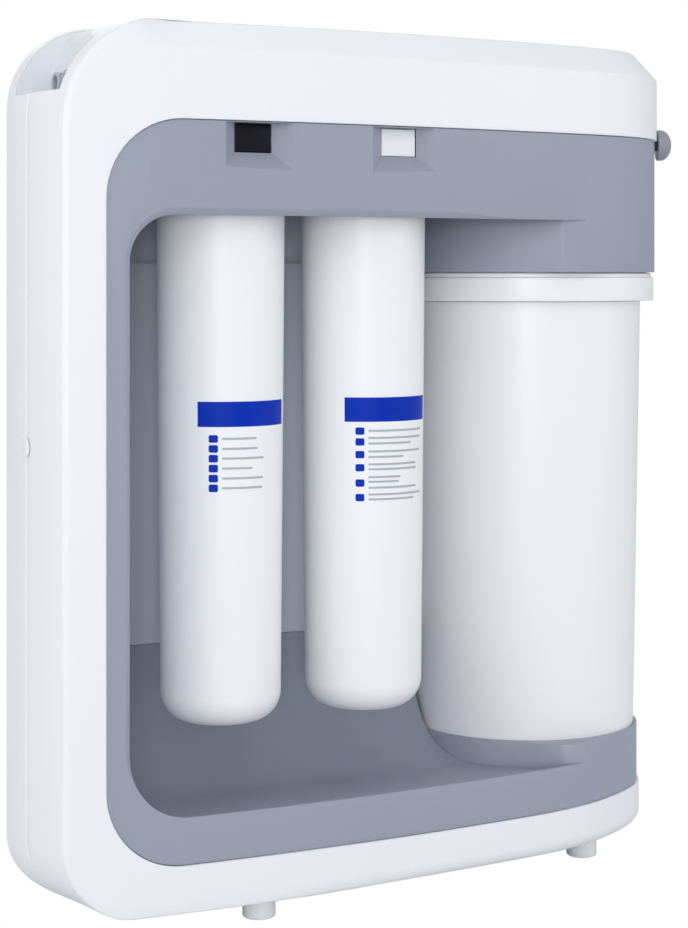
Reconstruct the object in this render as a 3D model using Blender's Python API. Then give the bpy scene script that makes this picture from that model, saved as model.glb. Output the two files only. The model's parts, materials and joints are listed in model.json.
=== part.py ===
# Under sink reverse osmosis water filter with two front cartridges, a membrane
# cartridge at the rear and a round storage tank at the right end.
# Metres. The front faces -Y, +X is to the right seen from the front, the floor is
# z = 0, and the origin is the middle of the footprint.
import math

import bmesh
import bpy
from mathutils import Matrix, Vector

# Overall size
WIDTH = 0.371
DEPTH = 0.190
HEIGHT = 0.4226
FOOT_HEIGHT = 0.0099

# Clearances
GAP = 0.0003
RUN = 0.0005
OVERCUT = 0.006
WELD = 0.000005

# Plan of the casing, measured from its left end and from its front
FRONT_SETBACK = 0.01157
BACK_SETBACK = 0.00673
BACK_APEX_FROM_LEFT = 0.176
SIDE_ARC_RADIUS = 0.19
SIDE_WIDEST_DEPTH = 0.050
FLANK_ARC_RADIUS = 0.50
FLANK_START_IN = 0.0026
FLANK_START_DEPTH = 0.080
FLANK_END_IN = 0.0575
FLANK_END_DEPTH = 0.170
CREASE_RADIUS = 0.0030
SIDE_CORNER_RADIUS = 0.014
BACK_CORNER_RADIUS = 0.050
END_BLEND_RADIUS = 0.160
END_RADIUS = 0.0724
BASE_STEP = 0.0096
TANK_AXIS_DEPTH = 0.086

# Elevation of the casing
TOP_CORNER_RADIUS = 0.050
BOTTOM_CORNER_RADIUS = 0.037
REAR_CORNER_RADIUS = 0.028
REAR_TOP_CORNER_RADIUS = 0.040
CORNER_CHANGE_START = 0.020
CORNER_CHANGE_LENGTH = 0.055
CORNER_MARGIN = 0.015
CHAMFER_WIDTH = 0.0125
CHAMFER_HEIGHT = 0.014
CHAMFER_FADE_START = 0.031
CHAMFER_FADE_LENGTH = 0.030
BOTTOM_EDGE_RADIUS = 0.0075
BOTTOM_EDGE_LEAST_SHARE = 0.15
BOTTOM_FADE_START = 0.075
BOTTOM_FADE_LENGTH = 0.170
BASE_RISE = 0.0186
HOOD_DROP = 0.134

# Walls
SHELL_WALL = 0.003
FRAME_WALL = 0.0034
FRAME_RECESS = 0.0012
FRAME_LAP = 0.006
SHEET = 0.0023
SEAM_DEPTH = 0.045

# Openings of the casing and windows of the grey frame
OPENING_LOW = 0.0321
OPENING_LEFT_IN = 0.0243
OPENING_CORNER = 0.037
REAR_OPENING_LEFT_IN = 0.0675
SILL_HEIGHT = 0.0219
FASCIA_HEIGHT = 0.0442
WINDOW_MARGIN = 0.0122
WINDOW_LOW_CORNER = 0.028
WINDOW_HIGH_CORNER = 0.022

# Tank, whose widths follow the casing's round end
FLANGE_SETBACK = 0.0018
FLANGE_OVERHANG = 0.0071
FLANGE_STEP = 0.0013
FLANGE_EDGE = 0.0015
FLANGE_THICKNESS = 0.0124
FOOT_SETBACK = 0.0032
FOOT_TAPER = 0.0196
TANK_SINK = 0.0029
TANK_SHOULDER_RISE = 0.0095
TANK_DROP = 0.1324
TANK_WALL = 0.0025
COLLAR_SETBACK = 0.0008
HOOD_COLLAR_WALL = 0.0034
COLLAR_STANDOFF = 0.0027
COLLAR_HEIGHT = 0.037
TANK_NECK_HEIGHT = 0.015
PLUG_DEPTH = 0.011
TANK_PORT_RADIUS = 0.008
TANK_PORT_BORE = 0.004
CUP_RISE = 0.0096
CUP_WALL = 0.0010
CUP_FLOOR_DROP = 0.003
CUP_FLOOR_THICKNESS = 0.0022
CUP_SKIRT_WALL = 0.0036
SEAT_CLEARANCE = 0.0005
BAG_CLEARANCE = 0.0076
BAG_STANDOFF = 0.0175
BAG_HEADROOM = 0.0256
BAG_NECK_RADIUS = 0.007
BAG_FULLNESS = 0.6

# Cartridges
CARTRIDGE_DEPTH = 0.045
PREFILTER_FROM_LEFT = 0.0991
CARTRIDGE_PITCH = 0.0786
CARTRIDGE_TOP_RADIUS = 0.0311
CARTRIDGE_TAPER = 0.0020
CARTRIDGE_RISE = 0.0346
CARTRIDGE_WALL = 0.0022
DOME_HEIGHT = 0.015
DOME_CORNER = 0.013
CAP_HEIGHT = 0.009
SHOULDER_RADIUS = 0.016
NECK_RADIUS = 0.010
LUG_REACH = 0.003
LUG_HEIGHT = 0.003
LUG_HALF_ANGLE = math.radians(18)
TAB_MARGIN_ANGLE = math.radians(4)
SEAL_GROOVE_HEIGHT = 0.0025
SEAL_GROOVE_DEPTH = 0.0016
SEAL_THICKNESS = 0.0013
CATCH_GROOVE_HEIGHT = 0.0065
CATCH_GROOVE_DEPTH = 0.0018
CORE_CLEARANCE = 0.0034
CORE_BORE = 0.008
SPIGOT_LENGTH = 0.006

# Steps down the neck, from the deck to the shoulder
NECK_CLEARANCE = 0.0062
CATCH_GROOVE_DROP = 0.005
SEAL_GROOVE_DROP = 0.0055
LUG_DROP = 0.0067
HEAD_DROP = 0.0023
SHOULDER_DROP = 0.0035

# Heads of the manifold
HEAD_RADIUS = 0.0205
DECK_DROP = 0.0398
DECK_THICKNESS = 0.0036
DECK_LEFT_IN = 0.030
DECK_CLEARANCE = 0.0008
TAB_HEIGHT = 0.002
TAB_REACH = 0.003
FITTING_SIZE = 0.013
FITTING_HEIGHT = 0.012

# Release buttons, catches and springs
BUTTON_WIDTH = 0.0188
BUTTON_HEIGHT = 0.0133
BUTTON_RISE = 0.0003
BUTTON_HEADROOM = 0.0010
BUTTON_FACE_DEPTH = 0.0086
BUTTON_FLANGE_DEPTH = 0.0128
BUTTON_FLANGE_THICKNESS = 0.0014
BUTTON_FLANGE_MARGIN = 0.0020
STEM_RADIUS = 0.0042
BUTTON_TRAVEL = 0.0035
FUNNEL_SIDE = 0.0090
FUNNEL_DROP = 0.0087
BLOCK_BACK_DEPTH = 0.0125
BLOCK_MARGIN = 0.0036
CATCH_THICKNESS = 0.003
CATCH_HALF_WIDTH = 0.0115
CATCH_TONGUE_HALF_WIDTH = 0.0034
CATCH_TONGUE_BACK = 0.027
CATCH_BACK = 0.061
SLOT_CLEARANCE = 0.0005
SPRING_RADIUS = 0.0056
SPRING_WIRE_RADIUS = 0.00045
SPRING_TURNS = 5

# Partition and left walls of the bays
PARTITION_CLEARANCE = 0.0299
PARTITION_DROP = 0.022
PARTITION_END_GAP = 0.0731
PARTITION_SETBACK = 0.004
BAY_WALL_RISE = 0.0135
RIB_WIDTH = 0.002
RIB_HEIGHT = 0.0025
RIB_DROP = 0.0075
RIB_BEFORE_CARTRIDGE = 0.0256
RIB_COUNT = 4

# Scooped floor
TRAY_DROP = 0.0037
SCOOP_START_DEPTH = 0.048
SCOOP_RISE = 0.0630
TRAY_SHEET = 0.0025

# Pocket for the tube ports in the top left corner
POCKET_FRONT_DEPTH = 0.0165
POCKET_BACK_DEPTH = 0.0665
POCKET_RISE = 0.0058
POCKET_WALL_IN = 0.0215
POCKET_WALL_HEIGHT = 0.017
POCKET_TOP_IN = 0.047
POCKET_WALL = 0.0022
PORT_RISE = 0.0066
PORT_FIRST_DEPTH = 0.030
PORT_PITCH = 0.0135
PORT_BLOCK_LENGTH = 0.017
PORT_BLOCK_MARGIN = 0.007
COLLET_RADIUS = 0.0042
COLLET_BORE = 0.0033
COLLET_FLANGE_RADIUS = 0.0050
COLLET_FLANGE_THICKNESS = 0.0016
COLLET_TRAVEL = 0.0010
COLLET_STANDOFF = 0.0015
COLLET_LENGTH = 0.013

# Mixing knob at the right end, on a radius that points to the front right
KNOB_ANGLE = math.radians(-28)
KNOB_DROP = 0.0017
KNOB_RADIUS = 0.0083
KNOB_LENGTH = 0.0080
KNOB_EDGE = 0.0022
KNOB_SLOT_WIDTH = 0.0016
KNOB_SLOT_DEPTH = 0.0015
KNOB_BORE = 0.0031
KNOB_SOCKET = 0.0040
KNOB_STEM_RADIUS = 0.0028
VALVE_RADIUS = 0.0068
VALVE_LENGTH = 0.0202
VALVE_SETBACK = 0.0052
VALVE_BORE_DEPTH = 0.016

# Water parts on the deck
SHUTOFF_BEFORE_TANK = 0.0831
SHUTOFF_DEPTH = 0.075
SHUTOFF_LENGTH = 0.034
SHUTOFF_WIDTH = 0.024
SHUTOFF_HEIGHT = 0.016
SHUTOFF_DOME_RADIUS = 0.009
SHUTOFF_DOME_HEIGHT = 0.006
CHECK_DEPTH = 0.100
CHECK_LENGTH = 0.028
CHECK_RADIUS = 0.006
RESTRICTOR_PAST_MEMBRANE = 0.007
RESTRICTOR_DEPTH = 0.125
RESTRICTOR_LENGTH = 0.040
RESTRICTOR_RADIUS = 0.005
INLINE_END_SHARE = 0.62
INLINE_END_LENGTH = 0.005
TUBE_RADIUS = 0.0032
TAP_FITTING_BEFORE = 0.0122
TAP_FITTING_DEPTH = 0.036
TANK_FITTING_BEFORE = 0.0131
TANK_FITTING_DEPTH = 0.088
TANK_TUBE_SAG = 0.012
INLET_TUBE_BOW = 0.010

# Feet, screws and the plug on the side
FOOT_RADIUS = 0.0079
FOOT_SPIGOT_RADIUS = 0.0030
FOOT_SPIGOT_LENGTH = 0.006
FOOT_EDGE = 0.0010
FOOT_LEFT_IN = 0.1055
FOOT_RIGHT_IN = 0.0679
FOOT_LEFT_INSET = 0.0155
FOOT_RIGHT_INSET = 0.0357
SCREW_HEAD_RADIUS = 0.0036
SCREW_HEAD_LENGTH = 0.0024
SCREW_SHANK_RADIUS = 0.0016
SCREW_SHANK_LENGTH = 0.012
SCREW_DRIVE_RADIUS = 0.0016
SCREW_DRIVE_DEPTH = 0.0012
BOSS_RADIUS = 0.0058
BOSS_LENGTH = 0.014
WELL_DEPTH = 0.008
SCREW_RISE = 0.0092
SCREW_DROP = 0.0275
SCREW_LEFT_IN = 0.125
SCREW_RIGHT_IN = 0.150
PLUG_HEIGHT = 0.2241
PLUG_RADIUS = 0.0046
PLUG_HEAD_THICKNESS = 0.0005
PLUG_STEM_RADIUS = 0.0020
PLUG_STEM_LENGTH = 0.007

# Fineness of the round shapes
ROUND_LARGE = 36
ROUND_MEDIUM = 20
ROUND_SMALL = 12
CORNER_STEPS = 7
SEAL_SIDES = 5
WIRE_SIDES = 4
SPRING_STEPS_PER_TURN = 8
TUBE_STEPS = 10

# Places in plan that follow from the sizes above
LEFT = -WIDTH / 2
RIGHT = WIDTH / 2
FRONT = -DEPTH / 2
BACK = DEPTH / 2
TANK_X = RIGHT - END_RADIUS
TANK_Y = FRONT + TANK_AXIS_DEPTH
PREFILTER_X = LEFT + PREFILTER_FROM_LEFT
POSTFILTER_X = PREFILTER_X + CARTRIDGE_PITCH
MEMBRANE_X = (PREFILTER_X + POSTFILTER_X) / 2
FRONT_APEX_X = MEMBRANE_X
BACK_APEX_X = LEFT + BACK_APEX_FROM_LEFT
FRONT_ARC_RADIUS = ((TANK_X - FRONT_APEX_X) ** 2 / FRONT_SETBACK + FRONT_SETBACK) / 2
BACK_ARC_RADIUS = ((TANK_X - BACK_APEX_X) ** 2 / BACK_SETBACK + BACK_SETBACK) / 2
PARTITION_DEPTH = CARTRIDGE_DEPTH + CARTRIDGE_TOP_RADIUS + PARTITION_CLEARANCE
PARTITION_RIGHT = TANK_X - PARTITION_END_GAP
POCKET_WALL_X = LEFT + POCKET_WALL_IN
PORT_BLOCK_X = POCKET_WALL_X + POCKET_WALL + GAP
SHUTOFF_X = TANK_X - SHUTOFF_BEFORE_TANK
CHECK_X = POSTFILTER_X
RESTRICTOR_X = MEMBRANE_X + RESTRICTOR_PAST_MEMBRANE
TAP_FITTING_X = POSTFILTER_X - TAP_FITTING_BEFORE
TANK_FITTING_X = TANK_X - TANK_FITTING_BEFORE

# Widths that follow from the sizes above
BASE_END_RADIUS = END_RADIUS - BASE_STEP
FRAME_INNER = FRAME_RECESS + FRAME_WALL
FRAME_LAP_INSET = SHELL_WALL + GAP
FLANGE_RADIUS = END_RADIUS - FLANGE_SETBACK
FLANGE_STEP_RADIUS = FLANGE_RADIUS - FLANGE_STEP
TANK_TOP_RADIUS = FLANGE_RADIUS - FLANGE_OVERHANG
TANK_FOOT_RADIUS = BASE_END_RADIUS - FOOT_SETBACK
TANK_FLOOR_RADIUS = TANK_FOOT_RADIUS - FOOT_TAPER
BAG_RADIUS = TANK_FOOT_RADIUS - BAG_CLEARANCE
HOOD_COLLAR_RADIUS = END_RADIUS - FRAME_RECESS - COLLAR_SETBACK
COLLAR_BORE = HOOD_COLLAR_RADIUS - HOOD_COLLAR_WALL
CUP_RADIUS = TANK_FOOT_RADIUS + GAP + CUP_WALL
CARTRIDGE_FOOT_RADIUS = CARTRIDGE_TOP_RADIUS - CARTRIDGE_TAPER
CORE_RADIUS = CARTRIDGE_TOP_RADIUS - CARTRIDGE_WALL - CORE_CLEARANCE
SEAL_GROOVE_RADIUS = NECK_RADIUS - SEAL_GROOVE_DEPTH
CATCH_GROOVE_RADIUS = NECK_RADIUS - CATCH_GROOVE_DEPTH
FUNNEL_HALF_WIDTH = BUTTON_WIDTH / 2 + FUNNEL_SIDE
BLOCK_HALF_WIDTH = FUNNEL_HALF_WIDTH + BLOCK_MARGIN
VALVE_OUTER = END_RADIUS - VALVE_SETBACK
VALVE_INNER = VALVE_OUTER - VALVE_LENGTH

# Heights near the top, stepped down from the deck
DECK_LOW = HEIGHT - DECK_DROP
DECK_TOP = DECK_LOW + DECK_THICKNESS
NECK_HIGH = DECK_LOW - NECK_CLEARANCE
CATCH_GROOVE_HIGH = NECK_HIGH - CATCH_GROOVE_DROP
CATCH_GROOVE_LOW = CATCH_GROOVE_HIGH - CATCH_GROOVE_HEIGHT
CATCH_MIDDLE = (CATCH_GROOVE_LOW + CATCH_GROOVE_HIGH) / 2
SEAL_GROOVE_HIGH = CATCH_GROOVE_LOW - SEAL_GROOVE_DROP
SEAL_GROOVE_LOW = SEAL_GROOVE_HIGH - SEAL_GROOVE_HEIGHT
LUG_LOW = SEAL_GROOVE_LOW - LUG_DROP
HEAD_LOW = LUG_LOW - HEAD_DROP
SHOULDER_HIGH = HEAD_LOW - SHOULDER_DROP
CARTRIDGE_JOINT = SHOULDER_HIGH - CAP_HEIGHT
BUTTON_HIGH = CATCH_MIDDLE + BUTTON_RISE + BUTTON_HEIGHT / 2
BUTTON_LOW = BUTTON_HIGH - BUTTON_HEIGHT
FUNNEL_HIGH = BUTTON_HIGH + GAP
FUNNEL_LOW = BUTTON_LOW - FUNNEL_DROP
BLOCK_LOW = FUNNEL_LOW - BLOCK_MARGIN
OPENING_HIGH = BUTTON_HIGH + BUTTON_HEADROOM
WINDOW_HIGH = OPENING_HIGH - FASCIA_HEIGHT
BAY_WALL_HIGH = WINDOW_HIGH + BAY_WALL_RISE
PARTITION_HIGH = WINDOW_HIGH - PARTITION_DROP
RIB_HIGH = PARTITION_HIGH - RIB_DROP
KNOB_HEIGHT = OPENING_HIGH - KNOB_DROP
POCKET_LEDGE = DECK_LOW + POCKET_RISE
POCKET_BEND = POCKET_LEDGE + POCKET_WALL_HEIGHT
PANEL_LOW = POCKET_LEDGE - POCKET_WALL
PORT_HEIGHT = POCKET_LEDGE + PORT_RISE
SCREW_HIGH = HEIGHT - SCREW_DROP
HOOD_LEVEL = HEIGHT - HOOD_DROP
TANK_HIGH = HEIGHT - TANK_DROP
FLANGE_LOW = TANK_HIGH + GAP
FLANGE_HIGH = FLANGE_LOW + FLANGE_THICKNESS
HOOD_COLLAR_LOW = FLANGE_HIGH + COLLAR_STANDOFF
HOOD_COLLAR_HIGH = HOOD_COLLAR_LOW + COLLAR_HEIGHT
NECK_TOP = HOOD_COLLAR_LOW + TANK_NECK_HEIGHT
BAG_HIGH = TANK_HIGH - BAG_HEADROOM

# Heights near the floor, stepped up from the opening's lower edge
WINDOW_LOW = OPENING_LOW + SILL_HEIGHT
BASE_LEVEL = WINDOW_LOW + BASE_RISE
CUP_RIM = WINDOW_LOW + CUP_RISE
TANK_LOW = WINDOW_LOW - TANK_SINK
TANK_SHOULDER = TANK_LOW + TANK_SHOULDER_RISE
CUP_FLOOR = TANK_LOW - CUP_FLOOR_DROP
BAG_LOW = TANK_LOW + BAG_STANDOFF
CARTRIDGE_LOW = WINDOW_LOW + CARTRIDGE_RISE
TRAY_TOP = WINDOW_LOW - TRAY_DROP
SCOOP_HIGH = WINDOW_LOW + SCOOP_RISE
SCREW_LOW = FOOT_HEIGHT + SCREW_RISE

COLOURS = {
    "white_plastic": ((0.86, 0.87, 0.89, 1), 0.35, 0.0),
    "tank_white": ((0.88, 0.89, 0.90, 1), 0.30, 0.0),
    "cartridge_white": ((0.90, 0.91, 0.92, 1), 0.38, 0.0),
    "grey_plastic": ((0.33, 0.36, 0.43, 1), 0.42, 0.0),
    "dark_plastic": ((0.05, 0.05, 0.06, 1), 0.50, 0.0),
    "black_plastic": ((0.012, 0.012, 0.018, 1), 0.35, 0.0),
    "seal_rubber": ((0.02, 0.02, 0.02, 1), 0.70, 0.0),
    "bag_rubber": ((0.55, 0.35, 0.22, 1), 0.60, 0.0),
    "spring_steel": ((0.60, 0.60, 0.62, 1), 0.30, 1.0),
    "carbon_block": ((0.03, 0.03, 0.03, 1), 0.90, 0.0),
    "membrane_wrap": ((0.80, 0.82, 0.78, 1), 0.55, 0.0),
    "tube_plastic": ((0.70, 0.78, 0.88, 1), 0.35, 0.0),
    "collet_grey": ((0.60, 0.62, 0.66, 1), 0.40, 0.0),
    "foot_rubber": ((0.80, 0.81, 0.82, 1), 0.60, 0.0),
}


def clear_scene():
    for item in list(bpy.data.objects):
        bpy.data.objects.remove(item, do_unlink=True)


def material(name):
    found = bpy.data.materials.get(name)
    if found:
        return found
    colour, roughness, metallic = COLOURS[name]
    made = bpy.data.materials.new(name)
    made.use_nodes = True
    shader = made.node_tree.nodes["Principled BSDF"]
    shader.inputs["Base Color"].default_value = colour
    shader.inputs["Roughness"].default_value = roughness
    shader.inputs["Metallic"].default_value = metallic
    made.diffuse_color = colour
    return made


# Mesh building

def add_object(name, vertices, faces):
    mesh = bpy.data.meshes.new(name)
    mesh.from_pydata([tuple(v) for v in vertices], [], faces)
    work = bmesh.new()
    work.from_mesh(mesh)
    bmesh.ops.recalc_face_normals(work, faces=work.faces)
    work.to_mesh(mesh)
    work.free()
    item = bpy.data.objects.new(name, mesh)
    bpy.context.collection.objects.link(item)
    return item


def loft(name, rings):
    count = len(rings[0])
    vertices = [point for ring in rings for point in ring]
    faces = []
    for level in range(len(rings) - 1):
        for i in range(count):
            j = (i + 1) % count
            low, high = level * count, (level + 1) * count
            faces.append((low + i, low + j, high + j, high + i))
    faces.append(tuple(reversed(range(count))))
    faces.append(tuple(range((len(rings) - 1) * count, len(rings) * count)))
    return add_object(name, vertices, faces)


def prism(name, outline, axis, start, end):
    """Extrude a flat outline along X, Y or Z."""
    place = {
        "X": lambda u, v, t: (t, u, v),
        "Y": lambda u, v, t: (u, t, v),
        "Z": lambda u, v, t: (u, v, t),
    }[axis]
    return loft(name, [[place(u, v, t) for u, v in outline] for t in (start, end)])


def box(name, x, y, z):
    outline = [(x[0], y[0]), (x[1], y[0]), (x[1], y[1]), (x[0], y[1])]
    return prism(name, outline, "Z", z[0], z[1])


def lathe(name, profile, segments, ring=False):
    """Turn (radius, height) pairs about Z. A ring's profile closes on itself."""
    vertices, rows = [], []
    for radius, height in profile:
        if radius == 0:
            rows.append([len(vertices)] * segments)
            vertices.append((0, 0, height))
            continue
        rows.append([len(vertices) + i for i in range(segments)])
        for i in range(segments):
            angle = 2 * math.pi * i / segments
            vertices.append((radius * math.cos(angle), radius * math.sin(angle), height))
    if ring:
        rows.append(rows[0])
    faces = []
    for low, high in zip(rows, rows[1:]):
        for i in range(segments):
            j = (i + 1) % segments
            corners = []
            for corner in (low[i], low[j], high[j], high[i]):
                if corner not in corners:
                    corners.append(corner)
            if len(corners) > 2:
                faces.append(tuple(corners))
    return add_object(name, vertices, faces)


def cylinder(name, radius, low, high, segments=ROUND_MEDIUM):
    return lathe(name, [(0, low), (radius, low), (radius, high), (0, high)], segments)


def sweep(name, points, radius, sides):
    """A round section carried along a list of points, closed at both ends."""
    rings = []
    across = None
    for i, point in enumerate(points):
        before = points[max(i - 1, 0)]
        after = points[min(i + 1, len(points) - 1)]
        along = (after - before).normalized()
        if across is None:
            across = along.orthogonal().normalized()
        across = (across - along * across.dot(along)).normalized()
        other = along.cross(across)
        ring = []
        for k in range(sides):
            angle = 2 * math.pi * k / sides
            ring.append(point + (across * math.cos(angle) + other * math.sin(angle)) * radius)
        rings.append(ring)
    return loft(name, rings)


def combine(target, tool, operation):
    """Apply a Boolean of two objects to the first and remove the second."""
    modifier = target.modifiers.new(operation.lower(), "BOOLEAN")
    modifier.operation = operation
    modifier.solver = "EXACT"
    modifier.object = tool
    bpy.context.view_layer.update()
    graph = bpy.context.evaluated_depsgraph_get()
    result = bpy.data.meshes.new_from_object(target.evaluated_get(graph))
    work = bmesh.new()
    work.from_mesh(result)
    bmesh.ops.remove_doubles(work, verts=work.verts, dist=WELD)
    bmesh.ops.dissolve_degenerate(work, edges=work.edges, dist=WELD)
    work.to_mesh(result)
    work.free()
    old = target.data
    target.modifiers.clear()
    target.data = result
    bpy.data.meshes.remove(old)
    bpy.data.objects.remove(tool, do_unlink=True)
    return target


def cut(target, tool):
    return combine(target, tool, "DIFFERENCE")


def join(target, tool):
    return combine(target, tool, "UNION")


def keep_common(target, tool):
    return combine(target, tool, "INTERSECT")


def move_mesh(item, matrix):
    item.data.transform(matrix)
    if matrix.determinant() < 0:
        item.data.flip_normals()
    return item


def shifted(item, x=0.0, y=0.0, z=0.0):
    return move_mesh(item, Matrix.Translation((x, y, z)))


def along_x(item, x, y, z):
    """Lay a turned piece along +X with its zero at the point given."""
    return move_mesh(item, Matrix.Translation((x, y, z)) @ Matrix.Rotation(math.pi / 2, 4, "Y"))


def along_end_radius(item, height):
    """Lay a turned piece along the knob's radius, with its zero on the tank's axis."""
    turn = Matrix.Rotation(KNOB_ANGLE, 4, "Z") @ Matrix.Rotation(math.pi / 2, 4, "Y")
    return move_mesh(item, Matrix.Translation((TANK_X, TANK_Y, height)) @ turn)


def finish(item, colour, pivot=None):
    """Give the piece its material and smooth shading, with its origin on the pivot."""
    item.data.materials.clear()
    item.data.materials.append(material(colour))
    if pivot is not None:
        item.data.transform(Matrix.Translation(-Vector(pivot)))
        item.location = pivot
    item.data.shade_smooth()
    item.data.set_sharp_from_angle(angle=math.radians(35))
    return item


# Plan of the casing as smooth arcs

def joining_arc(first, second, radius):
    """The arc that joins two circles smoothly, walking counter-clockwise."""
    (a, ra), (b, rb) = first, second
    reach_a, reach_b = abs(ra - radius), abs(rb - radius)
    span = (b - a).length
    unit = (b - a) / span
    side = Vector((-unit.y, unit.x))
    along = (reach_a ** 2 - reach_b ** 2 + span ** 2) / (2 * span)
    rise = math.sqrt(max(reach_a ** 2 - along ** 2, 0))
    choices = []
    for sign in (-1, 1):
        centre = a + unit * along + side * (rise * sign)
        start = (centre - a) * (ra - radius)
        end = (centre - b) * (rb - radius)
        start_angle = math.atan2(start.y, start.x)
        end_angle = math.atan2(end.y, end.x)
        choices.append(((end_angle - start_angle) % (2 * math.pi), centre, start_angle))
    turn, centre, start_angle = min(choices, key=lambda choice: choice[0])
    return centre, radius, start_angle, turn


def flank_circle():
    start = Vector((LEFT + FLANK_START_IN, FRONT + FLANK_START_DEPTH))
    end = Vector((LEFT + FLANK_END_IN, FRONT + FLANK_END_DEPTH))
    half = (end - start) / 2
    inward = Vector((half.y, -half.x)).normalized()
    centre = start + half + inward * math.sqrt(FLANK_ARC_RADIUS ** 2 - half.length_squared)
    return centre, FLANK_ARC_RADIUS


def plan_outline(inset, end_radius):
    """Points and outward normals of the casing's plan, moved inward by the inset."""
    tank = Vector((TANK_X, TANK_Y))
    front = Vector((FRONT_APEX_X, FRONT + FRONT_ARC_RADIUS))
    back = Vector((BACK_APEX_X, BACK - BACK_ARC_RADIUS))
    side = Vector((LEFT + SIDE_ARC_RADIUS, FRONT + SIDE_WIDEST_DEPTH))
    # Each row: circle, its steps, radius of the arc that joins it to the next, its steps
    rows = [
        ((front, FRONT_ARC_RADIUS), 12, END_BLEND_RADIUS, 4),
        ((tank, end_radius), 13, END_BLEND_RADIUS, 5),
        ((back, BACK_ARC_RADIUS), 5, BACK_CORNER_RADIUS, 5),
        (flank_circle(), 2, SIDE_CORNER_RADIUS, 3),
        ((side, SIDE_ARC_RADIUS), 3, max(CREASE_RADIUS, inset + CREASE_RADIUS), 3),
    ]
    joints = []
    for i, (circle, _, radius, _) in enumerate(rows):
        joints.append(joining_arc(circle, rows[(i + 1) % len(rows)][0], radius))
    points = []
    for i, ((centre, radius), steps, _, joint_steps) in enumerate(rows):
        _, _, last_start, last_turn = joints[i - 1]
        joint_centre, joint_radius, joint_start, joint_turn = joints[i]
        start = last_start + last_turn
        turn = (joint_start - start) % (2 * math.pi)
        arcs = [
            (centre, radius, start, turn, steps),
            (joint_centre, joint_radius, joint_start, joint_turn, joint_steps),
        ]
        for arc_centre, arc_radius, arc_start, arc_turn, arc_steps in arcs:
            for k in range(arc_steps):
                angle = arc_start + arc_turn * k / arc_steps
                normal = Vector((math.cos(angle), math.sin(angle)))
                points.append((arc_centre + normal * (arc_radius - inset), normal))
    return points


def smooth_step(value):
    value = min(max(value, 0), 1)
    return value * value * (3 - 2 * value)


def left_squeeze(z, inset, depth):
    """How far the rounded corners push the left end inward at a height, and where from."""
    change = smooth_step((depth - CORNER_CHANGE_START) / CORNER_CHANGE_LENGTH)
    low_radius = BOTTOM_CORNER_RADIUS + (REAR_CORNER_RADIUS - BOTTOM_CORNER_RADIUS) * change
    high_radius = TOP_CORNER_RADIUS + (REAR_TOP_CORNER_RADIUS - TOP_CORNER_RADIUS) * change
    if z > HEIGHT - high_radius:
        radius, rise = high_radius, z - HEIGHT + high_radius
    else:
        radius, rise = low_radius, max(FOOT_HEIGHT + low_radius - z, 0)
    inner = radius - inset
    push = inner - math.sqrt(max(inner ** 2 - rise ** 2, 0))
    return push, LEFT + radius + CORNER_MARGIN


def top_chamfer(z, inset):
    """Extra inset of the chamfer round the top at a height."""
    slope = CHAMFER_WIDTH / CHAMFER_HEIGHT
    return max(slope * (z - HEIGHT + CHAMFER_HEIGHT) + inset * (math.hypot(1, slope) - 1), 0)


def bottom_rounding(z, inset):
    """Extra inset of the rounded bottom edge at a height."""
    radius = BOTTOM_EDGE_RADIUS - inset
    rise = FOOT_HEIGHT + BOTTOM_EDGE_RADIUS - z
    if radius > 0 and rise > 0:
        return radius - math.sqrt(max(radius ** 2 - rise ** 2, 0))
    return 0


def front_face_y(x, inset):
    """Y of the casing's curved front at a place along it."""
    reach = FRONT_ARC_RADIUS - inset
    return FRONT + FRONT_ARC_RADIUS - math.sqrt(reach ** 2 - (x - FRONT_APEX_X) ** 2)


def edge_setback(x, z, inset):
    """How far the top chamfer and the rounded bottom edge set the surface back."""
    along = x - LEFT
    upper = smooth_step((along - CHAMFER_FADE_START) / CHAMFER_FADE_LENGTH)
    growth = smooth_step((along - BOTTOM_FADE_START) / BOTTOM_FADE_LENGTH)
    lower = BOTTOM_EDGE_LEAST_SHARE + (1 - BOTTOM_EDGE_LEAST_SHARE) * growth
    return top_chamfer(z, inset) * upper + bottom_rounding(z, inset) * lower


def casing_ring(z, inset):
    end_radius = BASE_END_RADIUS if z < (BASE_LEVEL + HOOD_LEVEL) / 2 else END_RADIUS
    ring = []
    for point, normal in plan_outline(inset, end_radius):
        push, pivot = left_squeeze(z, inset, point.y - FRONT)
        squeezed = pivot - (pivot - point.x) * (1 - push / (pivot - LEFT - inset))
        if point.x < pivot and point.y < TANK_Y:
            # The front keeps its own curve round the corner, and its crease follows it
            x = squeezed
            surface = front_face_y(x, inset) + edge_setback(x, z, inset)
            change = surface - front_face_y(point.x, inset)
            y = max(point.y + change * max(-normal.y, 0), surface)
        else:
            x, y = point - normal * edge_setback(point.x, z, inset)
            if x < pivot:
                x = pivot - (pivot - x) * (1 - push / (pivot - LEFT - inset))
        ring.append((x, y, z))
    return ring


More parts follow.
